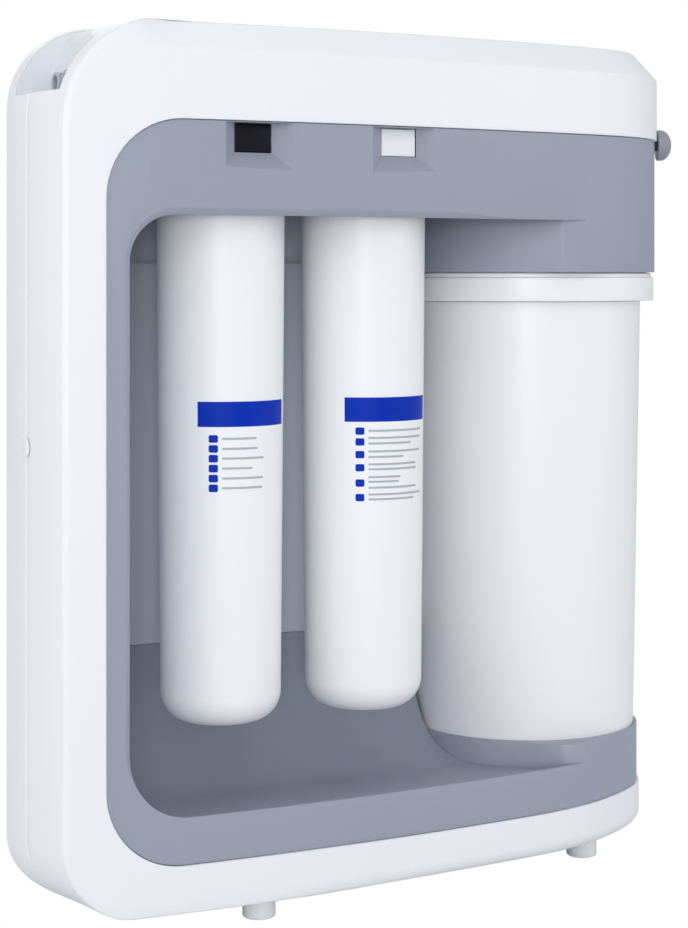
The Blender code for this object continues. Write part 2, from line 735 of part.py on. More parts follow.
def casing_levels(inset, low, high):
    """Heights at which the casing's surface needs a ring, between two limits."""
    top_centre = HEIGHT - TOP_CORNER_RADIUS
    low_centre = FOOT_HEIGHT + BOTTOM_CORNER_RADIUS
    edge_centre = FOOT_HEIGHT + BOTTOM_EDGE_RADIUS
    slope = CHAMFER_WIDTH / CHAMFER_HEIGHT
    chamfer_start = HEIGHT - CHAMFER_HEIGHT - inset * (math.hypot(1, slope) - 1) / slope
    levels = [low, high, BASE_LEVEL, HOOD_LEVEL, PANEL_LOW, chamfer_start]
    for k in range(CORNER_STEPS):
        turn = math.pi / 2 * k / CORNER_STEPS
        levels.append(top_centre + (TOP_CORNER_RADIUS - inset) * math.sin(turn))
        levels.append(low_centre - (BOTTOM_CORNER_RADIUS - inset) * math.sin(turn))
    if inset < BOTTOM_EDGE_RADIUS:
        for turn in (0, math.pi / 6, math.pi / 3):
            levels.append(edge_centre - (BOTTOM_EDGE_RADIUS - inset) * math.sin(turn))
    inside = sorted(z for z in levels if low <= z <= high)
    kept = [inside[0]]
    for z in inside[1:]:
        if z - kept[-1] > GAP:
            kept.append(z)
    kept[-1] = high
    return kept


def casing_solid(name, inset, low=None, high=None):
    """The casing's outer form moved inward by the inset, whole or between two heights."""
    if low is None:
        low, high = FOOT_HEIGHT + inset, HEIGHT - inset
    return loft(name, [casing_ring(z, inset) for z in casing_levels(inset, low, high)])


def rounded_left_outline(left, low, high, low_radius, high_radius):
    """An upright outline with two rounded left corners, open far past the right end."""
    points = [(RIGHT + OVERCUT, low)]
    for k in range(CORNER_STEPS + 1):
        turn = math.pi / 2 * k / CORNER_STEPS
        points.append((
            left + low_radius - low_radius * math.sin(turn),
            low + low_radius - low_radius * math.cos(turn),
        ))
    for k in range(CORNER_STEPS + 1):
        turn = math.pi / 2 * k / CORNER_STEPS
        points.append((
            left + high_radius - high_radius * math.cos(turn),
            high - high_radius + high_radius * math.sin(turn),
        ))
    points.append((RIGHT + OVERCUT, high))
    return points


def opening_cutter(name, grow, rear):
    """The casing's large opening at the front or at the rear, grown on every side."""
    left = LEFT + (REAR_OPENING_LEFT_IN if rear else OPENING_LEFT_IN)
    radius = OPENING_CORNER + grow
    outline = rounded_left_outline(
        left - grow, OPENING_LOW - grow, OPENING_HIGH + grow, radius, radius)
    seam = FRONT + SEAM_DEPTH
    start, end = (seam, BACK + OVERCUT) if rear else (FRONT - OVERCUT, seam + OVERCUT)
    return prism(name, outline, "Y", start, end)


def both_openings(grow):
    front = opening_cutter("front_limit", grow, rear=False)
    return join(front, opening_cutter("rear_limit", grow, rear=True))


def window_cutter(name, rear):
    left = LEFT + (REAR_OPENING_LEFT_IN if rear else OPENING_LEFT_IN) + WINDOW_MARGIN
    outline = rounded_left_outline(
        left, WINDOW_LOW, WINDOW_HIGH, WINDOW_LOW_CORNER, WINDOW_HIGH_CORNER)
    middle = FRONT + PARTITION_DEPTH
    start, end = (middle, BACK + OVERCUT) if rear else (FRONT - OVERCUT, middle + OVERCUT)
    cutter = prism(name, outline, "Y", start, end)
    # The walls of the cup and of the collar stay up round the tank
    for radius, low, high in (
            (BASE_END_RADIUS, 0, CUP_RIM), (END_RADIUS, HOOD_COLLAR_LOW, HEIGHT)):
        room = cylinder("room", radius - FRAME_RECESS + SEAT_CLEARANCE, low, high, ROUND_LARGE)
        cut(cutter, shifted(room, TANK_X, TANK_Y))
    return cutter


def pocket_outline(grow):
    """The pocket in the casing's top left corner, seen from the front."""
    wall = POCKET_WALL_X + grow
    top = LEFT + POCKET_TOP_IN + grow
    above = HEIGHT + OVERCUT
    points = [(LEFT - OVERCUT, POCKET_LEDGE - grow), (wall, POCKET_LEDGE - grow)]
    for k in range(CORNER_STEPS):
        turn = math.pi / 2 * k / (CORNER_STEPS - 1)
        points.append((
            wall + (top - wall) * (1 - math.cos(turn)),
            POCKET_BEND + (HEIGHT - POCKET_BEND) * math.sin(turn),
        ))
    points.append((top, above))
    points.append((LEFT - OVERCUT, above))
    return points


def knob_hole(name):
    hole = cylinder(name, KNOB_STEM_RADIUS + RUN, VALVE_INNER, END_RADIUS + OVERCUT, ROUND_SMALL)
    return along_end_radius(hole, KNOB_HEIGHT)


# Casing

def screw_places():
    """Name, x, height and outer depth of the casing screws in the rear shell."""
    places = []
    for side, x in (("left", LEFT + SCREW_LEFT_IN), ("right", RIGHT - SCREW_RIGHT_IN)):
        offset = x - BACK_APEX_X
        surface = BACK - BACK_ARC_RADIUS + math.sqrt(BACK_ARC_RADIUS ** 2 - offset ** 2)
        for level, z in (("lower", SCREW_LOW), ("upper", SCREW_HIGH)):
            places.append((f"casing_screw_{level}_{side}", x, z, surface))
    return places


def feet_places():
    places = []
    for side, x, depth in (
            ("left", LEFT + FOOT_LEFT_IN, FOOT_LEFT_INSET),
            ("right", RIGHT - FOOT_RIGHT_IN, FOOT_RIGHT_INSET)):
        places.append((f"foot_front_{side}", x, FRONT + depth))
        places.append((f"foot_rear_{side}", x, BACK - depth))
    return places


def hollow_casing(name):
    return cut(casing_solid(name, 0), casing_solid("hollow", SHELL_WALL))


def side_surface_x():
    """X of the casing's left face where the plug sits, on the seam."""
    offset = SEAM_DEPTH - SIDE_WIDEST_DEPTH
    return LEFT + SIDE_ARC_RADIUS - math.sqrt(SIDE_ARC_RADIUS ** 2 - offset ** 2)


def cut_shared_holes(shell):
    pocket = prism(
        "pocket", pocket_outline(0), "Y", FRONT + POCKET_FRONT_DEPTH, FRONT + POCKET_BACK_DEPTH)
    cut(shell, pocket)
    hole = cylinder(
        "plug_hole", PLUG_STEM_RADIUS + GAP, -OVERCUT, SHELL_WALL + OVERCUT, ROUND_SMALL)
    cut(shell, along_x(hole, side_surface_x(), FRONT + SEAM_DEPTH, PLUG_HEIGHT))
    for _, x, y in feet_places():
        hole = cylinder(
            "foot_hole", FOOT_SPIGOT_RADIUS + GAP, 0, FOOT_HEIGHT + SHELL_WALL + OVERCUT,
            ROUND_SMALL)
        cut(shell, shifted(hole, x, y))


def make_front_shell():
    shell = hollow_casing("front_shell")
    seam = FRONT + SEAM_DEPTH - GAP / 2
    front_half = box(
        "front_half", (LEFT - OVERCUT, RIGHT + OVERCUT), (FRONT - OVERCUT, seam),
        (0, HEIGHT + OVERCUT))
    keep_common(shell, front_half)
    cut(shell, opening_cutter("opening", 0, rear=False))
    cut_shared_holes(shell)
    cut(shell, knob_hole("knob_hole"))
    return finish(shell, "white_plastic")


def make_rear_shell():
    shell = hollow_casing("rear_shell")
    seam = FRONT + SEAM_DEPTH + GAP / 2
    rear_half = box(
        "rear_half", (LEFT - OVERCUT, RIGHT + OVERCUT), (seam, BACK + OVERCUT),
        (0, HEIGHT + OVERCUT))
    keep_common(shell, rear_half)
    cut(shell, opening_cutter("opening", 0, rear=True))
    cut_shared_holes(shell)
    cut(shell, knob_hole("knob_hole"))
    for _, x, z, surface in screw_places():
        bore = SCREW_SHANK_RADIUS + GAP
        well = SCREW_HEAD_RADIUS + GAP
        hole = cylinder("well_hole", (well + BOSS_RADIUS) / 2, -OVERCUT, OVERCUT, ROUND_SMALL)
        cut(shell, along_y(hole, x, surface, z))
        seat = BOSS_LENGTH - WELL_DEPTH
        end = BOSS_LENGTH - SHELL_WALL / 2
        boss = lathe("boss", [
            (bore, 0), (BOSS_RADIUS, 0), (BOSS_RADIUS, end), (well, end), (well, seat), (bore, seat),
        ], ROUND_SMALL, ring=True)
        join(shell, along_y(boss, x, surface - BOSS_LENGTH, z))
    return finish(shell, "white_plastic")


def along_y(item, x, y, z):
    """Lay a turned piece along +Y with its zero at the point given."""
    return move_mesh(item, Matrix.Translation((x, y, z)) @ Matrix.Rotation(-math.pi / 2, 4, "X"))


def make_screws():
    for name, x, z, surface in screw_places():
        profile = [
            (0, 0),
            (SCREW_SHANK_RADIUS, 0),
            (SCREW_SHANK_RADIUS, SCREW_SHANK_LENGTH),
            (SCREW_HEAD_RADIUS, SCREW_SHANK_LENGTH),
            (SCREW_HEAD_RADIUS, SCREW_SHANK_LENGTH + SCREW_HEAD_LENGTH),
            (SCREW_DRIVE_RADIUS, SCREW_SHANK_LENGTH + SCREW_HEAD_LENGTH),
            (SCREW_DRIVE_RADIUS, SCREW_SHANK_LENGTH + SCREW_HEAD_LENGTH - SCREW_DRIVE_DEPTH),
            (0, SCREW_SHANK_LENGTH + SCREW_HEAD_LENGTH - SCREW_DRIVE_DEPTH),
        ]
        screw = lathe(name, profile, ROUND_SMALL)
        seat = surface - WELL_DEPTH + GAP - SCREW_SHANK_LENGTH
        finish(along_y(screw, x, seat, z), "spring_steel")


def make_feet():
    for name, x, y in feet_places():
        top = FOOT_HEIGHT - GAP
        profile = [
            (0, 0),
            (FOOT_RADIUS - FOOT_EDGE, 0),
            (FOOT_RADIUS, FOOT_EDGE),
            (FOOT_RADIUS, top),
            (FOOT_SPIGOT_RADIUS, top),
            (FOOT_SPIGOT_RADIUS, top + FOOT_SPIGOT_LENGTH),
            (0, top + FOOT_SPIGOT_LENGTH),
        ]
        finish(shifted(lathe(name, profile, ROUND_SMALL), x, y), "foot_rubber")


def make_side_plug():
    profile = [
        (0, -PLUG_HEAD_THICKNESS),
        (PLUG_RADIUS - PLUG_HEAD_THICKNESS, -PLUG_HEAD_THICKNESS),
        (PLUG_RADIUS, 0),
        (PLUG_STEM_RADIUS, 0),
        (PLUG_STEM_RADIUS, PLUG_STEM_LENGTH),
        (0, PLUG_STEM_LENGTH),
    ]
    plug = lathe("side_plug", profile, ROUND_SMALL)
    return finish(
        along_x(plug, side_surface_x() - GAP, FRONT + SEAM_DEPTH, PLUG_HEIGHT), "white_plastic")


# Grey frame, floor and walls of the bays

def cartridge_places():
    """Name, x, y and the way out (-1 to the front, 1 to the rear) of each cartridge."""
    return [
        ("prefilter", PREFILTER_X, FRONT + CARTRIDGE_DEPTH, -1),
        ("postfilter", POSTFILTER_X, FRONT + CARTRIDGE_DEPTH, -1),
        ("membrane", MEMBRANE_X, BACK - CARTRIDGE_DEPTH, 1),
    ]


def outer_depth(way, depth):
    """The y at a depth behind the front face, or before the back face."""
    return FRONT + depth if way < 0 else BACK - depth


def span(first, second):
    return (min(first, second), max(first, second))


def button_funnel(x, way):
    """The tapered recess that leads a finger to a button."""
    mouth = outer_depth(way, -OVERCUT)
    throat = outer_depth(way, BUTTON_FACE_DEPTH)
    reach = BUTTON_FACE_DEPTH / (BUTTON_FACE_DEPTH - FRAME_RECESS)
    taper = FUNNEL_HALF_WIDTH - BUTTON_WIDTH / 2
    mouth_grow = taper * (1 + OVERCUT / BUTTON_FACE_DEPTH) * reach
    drop = (BUTTON_LOW - FUNNEL_LOW) * (1 + OVERCUT / BUTTON_FACE_DEPTH) * reach
    rings = []
    for y, grow, fall in ((mouth, mouth_grow, drop), (throat, GAP, GAP)):
        half = BUTTON_WIDTH / 2 + grow
        low = BUTTON_LOW - fall
        rings.append([
            (x - half, y, low), (x + half, y, low),
            (x + half, y, FUNNEL_HIGH), (x - half, y, FUNNEL_HIGH),
        ])
    return loft("funnel", rings)


def make_inner_frame():
    low, high = OPENING_LOW - FRAME_LAP, OPENING_HIGH + FRAME_LAP
    frame = casing_solid("inner_frame", FRAME_LAP_INSET, low, high)
    # The part that fills the casing's openings stands out to the fascia's face
    raised = casing_solid("raised", FRAME_RECESS, low, high)
    keep_common(raised, both_openings(-GAP))
    join(frame, raised)
    cut(frame, casing_solid("core", FRAME_INNER, low - GAP, high + GAP))
    keep_common(frame, both_openings(FRAME_LAP - GAP))
    cut(frame, window_cutter("window", rear=False))
    cut(frame, window_cutter("window", rear=True))
    add_tank_seats(frame)
    for _, x, _, way in cartridge_places():
        block = box(
            "block", (x - BLOCK_HALF_WIDTH, x + BLOCK_HALF_WIDTH),
            span(outer_depth(way, 0), outer_depth(way, BLOCK_BACK_DEPTH)),
            (BLOCK_LOW, OPENING_HIGH + FRAME_LAP / 2))
        keep_common(block, casing_solid("block_limit", FRAME_LAP_INSET, low, high))
        join(frame, block)
        cut(frame, button_funnel(x, way))
        half = BUTTON_WIDTH / 2 + GAP
        hole = box(
            "button_hole", (x - half, x + half),
            span(outer_depth(way, BUTTON_FACE_DEPTH - GAP), outer_depth(way, BLOCK_BACK_DEPTH + OVERCUT)),
            (BUTTON_LOW - GAP, FUNNEL_HIGH))
        cut(frame, hole)
    cut(frame, knob_hole("knob_hole"))
    return finish(frame, "grey_plastic")


def add_tank_seats(frame):
    """The collar round the tank's head and the cup round its foot."""
    collar = lathe("collar", [
        (COLLAR_BORE, HOOD_COLLAR_LOW), (HOOD_COLLAR_RADIUS, HOOD_COLLAR_LOW),
        (HOOD_COLLAR_RADIUS, HOOD_COLLAR_HIGH), (COLLAR_BORE, HOOD_COLLAR_HIGH),
    ], ROUND_LARGE, ring=True)
    join(frame, shifted(collar, TANK_X, TANK_Y))
    cup = cylinder("cup", CUP_RADIUS, (OPENING_LOW + WINDOW_LOW) / 2, CUP_RIM, ROUND_LARGE)
    join(frame, shifted(cup, TANK_X, TANK_Y))
    bore = cylinder("cup_bore", TANK_FOOT_RADIUS + GAP, CUP_FLOOR + CUP_FLOOR_THICKNESS,
                    CUP_RIM + OVERCUT, ROUND_LARGE)
    cut(frame, shifted(bore, TANK_X, TANK_Y))
    under = cylinder("cup_under", CUP_RADIUS - CUP_SKIRT_WALL, 0, CUP_FLOOR, ROUND_LARGE)
    cut(frame, shifted(under, TANK_X, TANK_Y))


def scoop_curve():
    """Points of the floor's rise from the sill to the partition, with their turns."""
    points = []
    run = PARTITION_DEPTH - GAP - SCOOP_START_DEPTH
    rise = SCOOP_HIGH - TRAY_TOP
    steps = 2 * CORNER_STEPS
    for k in range(steps + 1):
        turn = math.pi / 2 * k / steps
        y = FRONT + SCOOP_START_DEPTH + run * math.sin(turn)
        z = TRAY_TOP + rise * (1 - math.cos(turn))
        points.append((y, z, turn))
    return points


def make_floor_tray():
    bottom = TRAY_TOP - TRAY_SHEET
    wall_front = FRONT + PARTITION_DEPTH - GAP
    wall_back = wall_front + TRAY_SHEET
    outline = [(FRONT - OVERCUT, TRAY_TOP)]
    outline += [(y, z) for y, z, _ in scoop_curve()]
    outline += [(wall_back, SCOOP_HIGH), (wall_back, TRAY_TOP), (BACK + OVERCUT, TRAY_TOP)]
    outline += [(BACK + OVERCUT, bottom), (wall_front, bottom)]
    for y, z, turn in reversed(scoop_curve()):
        under_y = y + TRAY_SHEET * math.sin(turn)
        under_z = z - TRAY_SHEET * math.cos(turn)
        if under_y < wall_front - TRAY_SHEET:
            outline.append((under_y, under_z))
    outline.append((FRONT - OVERCUT, bottom))
    wall_x = LEFT + OPENING_LEFT_IN + WINDOW_MARGIN
    tray = prism("floor_tray", outline, "X", wall_x, TANK_X)
    keep_common(tray, casing_solid(
        "tray_limit", FRAME_INNER + GAP, OPENING_LOW, SCOOP_HIGH + OVERCUT))
    tank = cylinder("tank_room", CUP_RADIUS + GAP, 0, SCOOP_HIGH + OVERCUT, ROUND_LARGE)
    cut(tray, shifted(tank, TANK_X, TANK_Y))
    return finish(tray, "grey_plastic")


def make_bay_liner():
    """Left wall of the front bay, partition with ribs and left wall of the rear bay."""
    wall_x = LEFT + OPENING_LEFT_IN + WINDOW_MARGIN - GAP
    rear_x = LEFT + REAR_OPENING_LEFT_IN + WINDOW_MARGIN - GAP
    face = FRONT + PARTITION_DEPTH
    liner = box("bay_liner", (wall_x - SHEET, wall_x), (FRONT, face + SHEET),
                (OPENING_LOW, BAY_WALL_HIGH))
    setback = face + PARTITION_SETBACK
    under_deck = DECK_LOW - GAP
    partition_outline = [
        (face, SCOOP_HIGH + GAP), (face + SHEET, SCOOP_HIGH + GAP),
        (face + SHEET, PARTITION_HIGH - SHEET), (setback + SHEET, PARTITION_HIGH - SHEET),
        (setback + SHEET, under_deck), (setback, under_deck),
        (setback, PARTITION_HIGH), (face, PARTITION_HIGH),
    ]
    join(liner, prism("partition", partition_outline, "X", wall_x - SHEET, PARTITION_RIGHT))
    behind_tray = face + TRAY_SHEET + GAP
    above_tray = SCOOP_HIGH + GAP
    above_floor = TRAY_TOP + GAP
    rear_outline = [
        (face + SHEET / 2, above_tray), (behind_tray, above_tray), (behind_tray, above_floor),
        (BACK, above_floor), (BACK, BAY_WALL_HIGH), (face + SHEET / 2, BAY_WALL_HIGH),
    ]
    join(liner, prism("rear_wall", rear_outline, "X", rear_x - SHEET, rear_x))
    for i in range(RIB_COUNT):
        x = PREFILTER_X - RIB_BEFORE_CARTRIDGE + CARTRIDGE_PITCH / 2 * i
        rib = box("rib", (x - RIB_WIDTH / 2, x + RIB_WIDTH / 2),
                  (face - RIB_HEIGHT, face + SHEET / 2), (SCOOP_HIGH + GAP, RIB_HIGH))
        join(liner, rib)
    keep_common(liner, casing_solid(
        "liner_limit", FRAME_INNER + GAP, OPENING_LOW, under_deck))
    return finish(liner, "grey_plastic")


# Manifold with a head over each cartridge

def sector(name, inner, outer, middle, half_angle, low, high):
    outline = []
    for radius, way in ((inner, 1), (outer, -1)):
        for k in range(CORNER_STEPS + 1):
            angle = middle + way * half_angle * (2 * k / CORNER_STEPS - 1)
            outline.append((radius * math.cos(angle), radius * math.sin(angle)))
    return prism(name, outline, "Z", low, high)


def make_manifold():
    manifold = casing_solid("manifold", SHELL_WALL + DECK_CLEARANCE, DECK_LOW, DECK_TOP)
    deck_room = box("deck_room", (LEFT - OVERCUT, LEFT + DECK_LEFT_IN),
                    (FRONT - OVERCUT, BACK + OVERCUT), (DECK_LOW - OVERCUT, DECK_TOP + OVERCUT))
    cut(manifold, deck_room)
    catch_low = CATCH_MIDDLE - CATCH_THICKNESS / 2
    for _, x, y, way in cartridge_places():
        head = cylinder("head", HEAD_RADIUS, HEAD_LOW, DECK_LOW + DECK_THICKNESS / 2)
        cut(head, cylinder("bore", NECK_RADIUS + GAP, 0, NECK_HIGH + GAP))
        lug_room = cylinder("lug_room", NECK_RADIUS + LUG_REACH + GAP, 0, LUG_LOW + LUG_HEIGHT + GAP)
        cut(head, lug_room)
        for middle in (0, math.pi):
            tab = sector("tab", NECK_RADIUS + GAP, HEAD_RADIUS - TAB_REACH, middle,
                         LUG_HALF_ANGLE + TAB_MARGIN_ANGLE, HEAD_LOW, HEAD_LOW + TAB_HEIGHT)
            join(head, tab)
        slot = box("slot", (-CATCH_HALF_WIDTH - SLOT_CLEARANCE, CATCH_HALF_WIDTH + SLOT_CLEARANCE),
                   (-HEAD_RADIUS - OVERCUT, HEAD_RADIUS + OVERCUT),
                   (catch_low - SLOT_CLEARANCE, catch_low + CATCH_THICKNESS + SLOT_CLEARANCE))
        cut(head, slot)
        join(manifold, shifted(head, x, y))
    for x, depth in ((TAP_FITTING_X, TAP_FITTING_DEPTH), (TANK_FITTING_X, TANK_FITTING_DEPTH)):
        half = FITTING_SIZE / 2
        fitting = box("fitting", (x - half, x + half), (FRONT + depth - half, FRONT + depth + half),
                      (DECK_LOW + DECK_THICKNESS / 2, DECK_TOP + FITTING_HEIGHT))
        join(manifold, fitting)
    return finish(manifold, "dark_plastic")


# Cartridges

def radius_at(z):
    """Outer radius of a cartridge's tapered body at a height."""
    share = (z - CARTRIDGE_LOW) / (CARTRIDGE_JOINT - CARTRIDGE_LOW)
    return CARTRIDGE_FOOT_RADIUS + (CARTRIDGE_TOP_RADIUS - CARTRIDGE_FOOT_RADIUS) * share


def make_cartridge(name, x, y, core_colour):
    pivot = (x, y, CARTRIDGE_JOINT)
    side = radius_at(CARTRIDGE_LOW + DOME_HEIGHT)
    profile = [(0, CARTRIDGE_LOW)]
    for k in range(CORNER_STEPS):
        turn = math.pi / 2 * k / (CORNER_STEPS - 1)
        profile.append((
            side - DOME_CORNER + DOME_CORNER * math.sin(turn),
            CARTRIDGE_LOW + DOME_HEIGHT * (1 - math.cos(turn)),
        ))
    inner = CARTRIDGE_TOP_RADIUS - CARTRIDGE_WALL
    inner_low = CARTRIDGE_LOW + DOME_HEIGHT
    profile += [
        (CARTRIDGE_TOP_RADIUS, CARTRIDGE_JOINT),
        (inner, CARTRIDGE_JOINT),
        (side - CARTRIDGE_WALL, inner_low),
        (side - DOME_CORNER, CARTRIDGE_LOW + CARTRIDGE_WALL),
        (0, CARTRIDGE_LOW + CARTRIDGE_WALL),
    ]
    housing = shifted(lathe(f"{name}_housing", profile, ROUND_MEDIUM), x, y)
    finish(housing, "cartridge_white", pivot)

    base = CARTRIDGE_JOINT + GAP
    spigot = inner - GAP - RUN
    cap_profile = [
        (0, base - SPIGOT_LENGTH),
        (spigot, base - SPIGOT_LENGTH),
        (spigot, base),
        (CARTRIDGE_TOP_RADIUS, base),
        (CARTRIDGE_TOP_RADIUS, (base + SHOULDER_HIGH) / 2),
        (SHOULDER_RADIUS, SHOULDER_HIGH),
        (NECK_RADIUS, SHOULDER_HIGH),
        (NECK_RADIUS, SEAL_GROOVE_LOW),
        (SEAL_GROOVE_RADIUS, SEAL_GROOVE_LOW),
        (SEAL_GROOVE_RADIUS, SEAL_GROOVE_HIGH),
        (NECK_RADIUS, SEAL_GROOVE_HIGH),
        (NECK_RADIUS, CATCH_GROOVE_LOW),
        (CATCH_GROOVE_RADIUS, CATCH_GROOVE_LOW),
        (CATCH_GROOVE_RADIUS, CATCH_GROOVE_HIGH),
        (NECK_RADIUS, CATCH_GROOVE_HIGH),
        (NECK_RADIUS, NECK_HIGH),
        (0, NECK_HIGH),
    ]
    cap = lathe(f"{name}_cap", cap_profile, ROUND_MEDIUM)
    for middle in (0, math.pi):
        lug = sector("lug", SEAL_GROOVE_RADIUS, NECK_RADIUS + LUG_REACH, middle, LUG_HALF_ANGLE,
                     LUG_LOW, LUG_LOW + LUG_HEIGHT)
        join(cap, lug)
    finish(shifted(cap, x, y), "cartridge_white", pivot)

    core_low = CARTRIDGE_LOW + DOME_HEIGHT
    core_high = base - SPIGOT_LENGTH - GAP
    core_radius = min(CORE_RADIUS, side - CARTRIDGE_WALL - GAP)
    core = lathe(f"{name}_core", [
        (CORE_BORE, core_low), (core_radius, core_low),
        (core_radius, core_high), (CORE_BORE, core_high),
    ], ROUND_SMALL, ring=True)
    finish(shifted(core, x, y), core_colour, pivot)

    middle = (SEAL_GROOVE_LOW + SEAL_GROOVE_HIGH) / 2
    ring_radius = SEAL_GROOVE_RADIUS + GAP + SEAL_THICKNESS / 2
    seal = make_seal(f"{name}_seal", ring_radius, SEAL_THICKNESS / 2, middle)
    finish(shifted(seal, x, y), "seal_rubber", pivot)


def make_seal(name, ring_radius, section_radius, height, segments=ROUND_MEDIUM):
    profile = []
    for k in range(SEAL_SIDES):
        angle = 2 * math.pi * k / SEAL_SIDES
        profile.append((
            ring_radius + section_radius * math.cos(angle),
            height + section_radius * math.sin(angle),
        ))
    return lathe(name, profile, segments, ring=True)


# Release buttons

def make_button(name, x, way, colour):
    half = BUTTON_WIDTH / 2
    middle = (BUTTON_LOW + BUTTON_HIGH) / 2
    face = outer_depth(way, BUTTON_FACE_DEPTH)
    flange = outer_depth(way, BUTTON_FLANGE_DEPTH)
    flange_back = outer_depth(way, BUTTON_FLANGE_DEPTH + BUTTON_FLANGE_THICKNESS)
    stem_end = outer_depth(way, CARTRIDGE_DEPTH - HEAD_RADIUS - BUTTON_TRAVEL - GAP)
    button = box(f"{name}_button", (x - half, x + half), span(face, flange),
                 (BUTTON_LOW, BUTTON_HIGH))
    margin = half + BUTTON_FLANGE_MARGIN
    plate = box("plate", (x - margin, x + margin), span(flange - (flange - face) / 2, flange_back),
                (BUTTON_LOW - BUTTON_FLANGE_MARGIN, BUTTON_HIGH + BUTTON_FLANGE_MARGIN))
    cut(plate, box("plate_room", (x - margin - OVERCUT, x + margin + OVERCUT),
                   span(face, flange), (0, HEIGHT)))
    join(button, plate)
    length = abs(stem_end - flange)
    stem = cylinder("stem", STEM_RADIUS, 0, length, ROUND_SMALL)
    start = min(flange, stem_end)
    join(button, along_y(stem, x, start, CATCH_MIDDLE))
    pivot = (x, face, middle)
    finish(button, colour, pivot)
    make_catch(name, x, way, pivot)
    make_spring(name, x, way)


def make_catch(name, x, way, pivot):
    """A sliding plate whose keyhole grips the groove in the cartridge's neck."""
    low = CATCH_MIDDLE - CATCH_THICKNESS / 2
    high = low + CATCH_THICKNESS
    tongue_front = CARTRIDGE_DEPTH - HEAD_RADIUS - BUTTON_TRAVEL
    catch = box(f"{name}_catch", (x - CATCH_HALF_WIDTH, x + CATCH_HALF_WIDTH),
                span(outer_depth(way, CATCH_TONGUE_BACK), outer_depth(way, CATCH_BACK)),
                (low, high))
    tongue = box("tongue", (x - CATCH_TONGUE_HALF_WIDTH, x + CATCH_TONGUE_HALF_WIDTH),
                 span(outer_depth(way, tongue_front), outer_depth(way, CATCH_TONGUE_BACK + RUN)),
                 (low, high))
    join(catch, tongue)
    axis_y = outer_depth(way, CARTRIDGE_DEPTH)
    for radius, shift in ((CATCH_GROOVE_RADIUS + GAP, 0), (NECK_RADIUS + RUN, BUTTON_TRAVEL)):
        hole = cylinder("hole", radius, low - OVERCUT, high + OVERCUT)
        cut(catch, shifted(hole, x, axis_y + way * shift))
    finish(catch, "dark_plastic", pivot)


def make_spring(name, x, way):
    start = BUTTON_FLANGE_DEPTH + BUTTON_FLANGE_THICKNESS + GAP + SPRING_WIRE_RADIUS
    end = CARTRIDGE_DEPTH - HEAD_RADIUS - GAP - SPRING_WIRE_RADIUS
    steps = SPRING_TURNS * SPRING_STEPS_PER_TURN
    points = []
    for k in range(steps + 1):
        angle = 2 * math.pi * k / SPRING_STEPS_PER_TURN
        y = outer_depth(way, start + (end - start) * k / steps)
        points.append(Vector((
            x + SPRING_RADIUS * math.cos(angle), y, CATCH_MIDDLE + SPRING_RADIUS * math.sin(angle))))
    finish(sweep(f"{name}_spring", points, SPRING_WIRE_RADIUS, WIRE_SIDES), "spring_steel")


# Tank

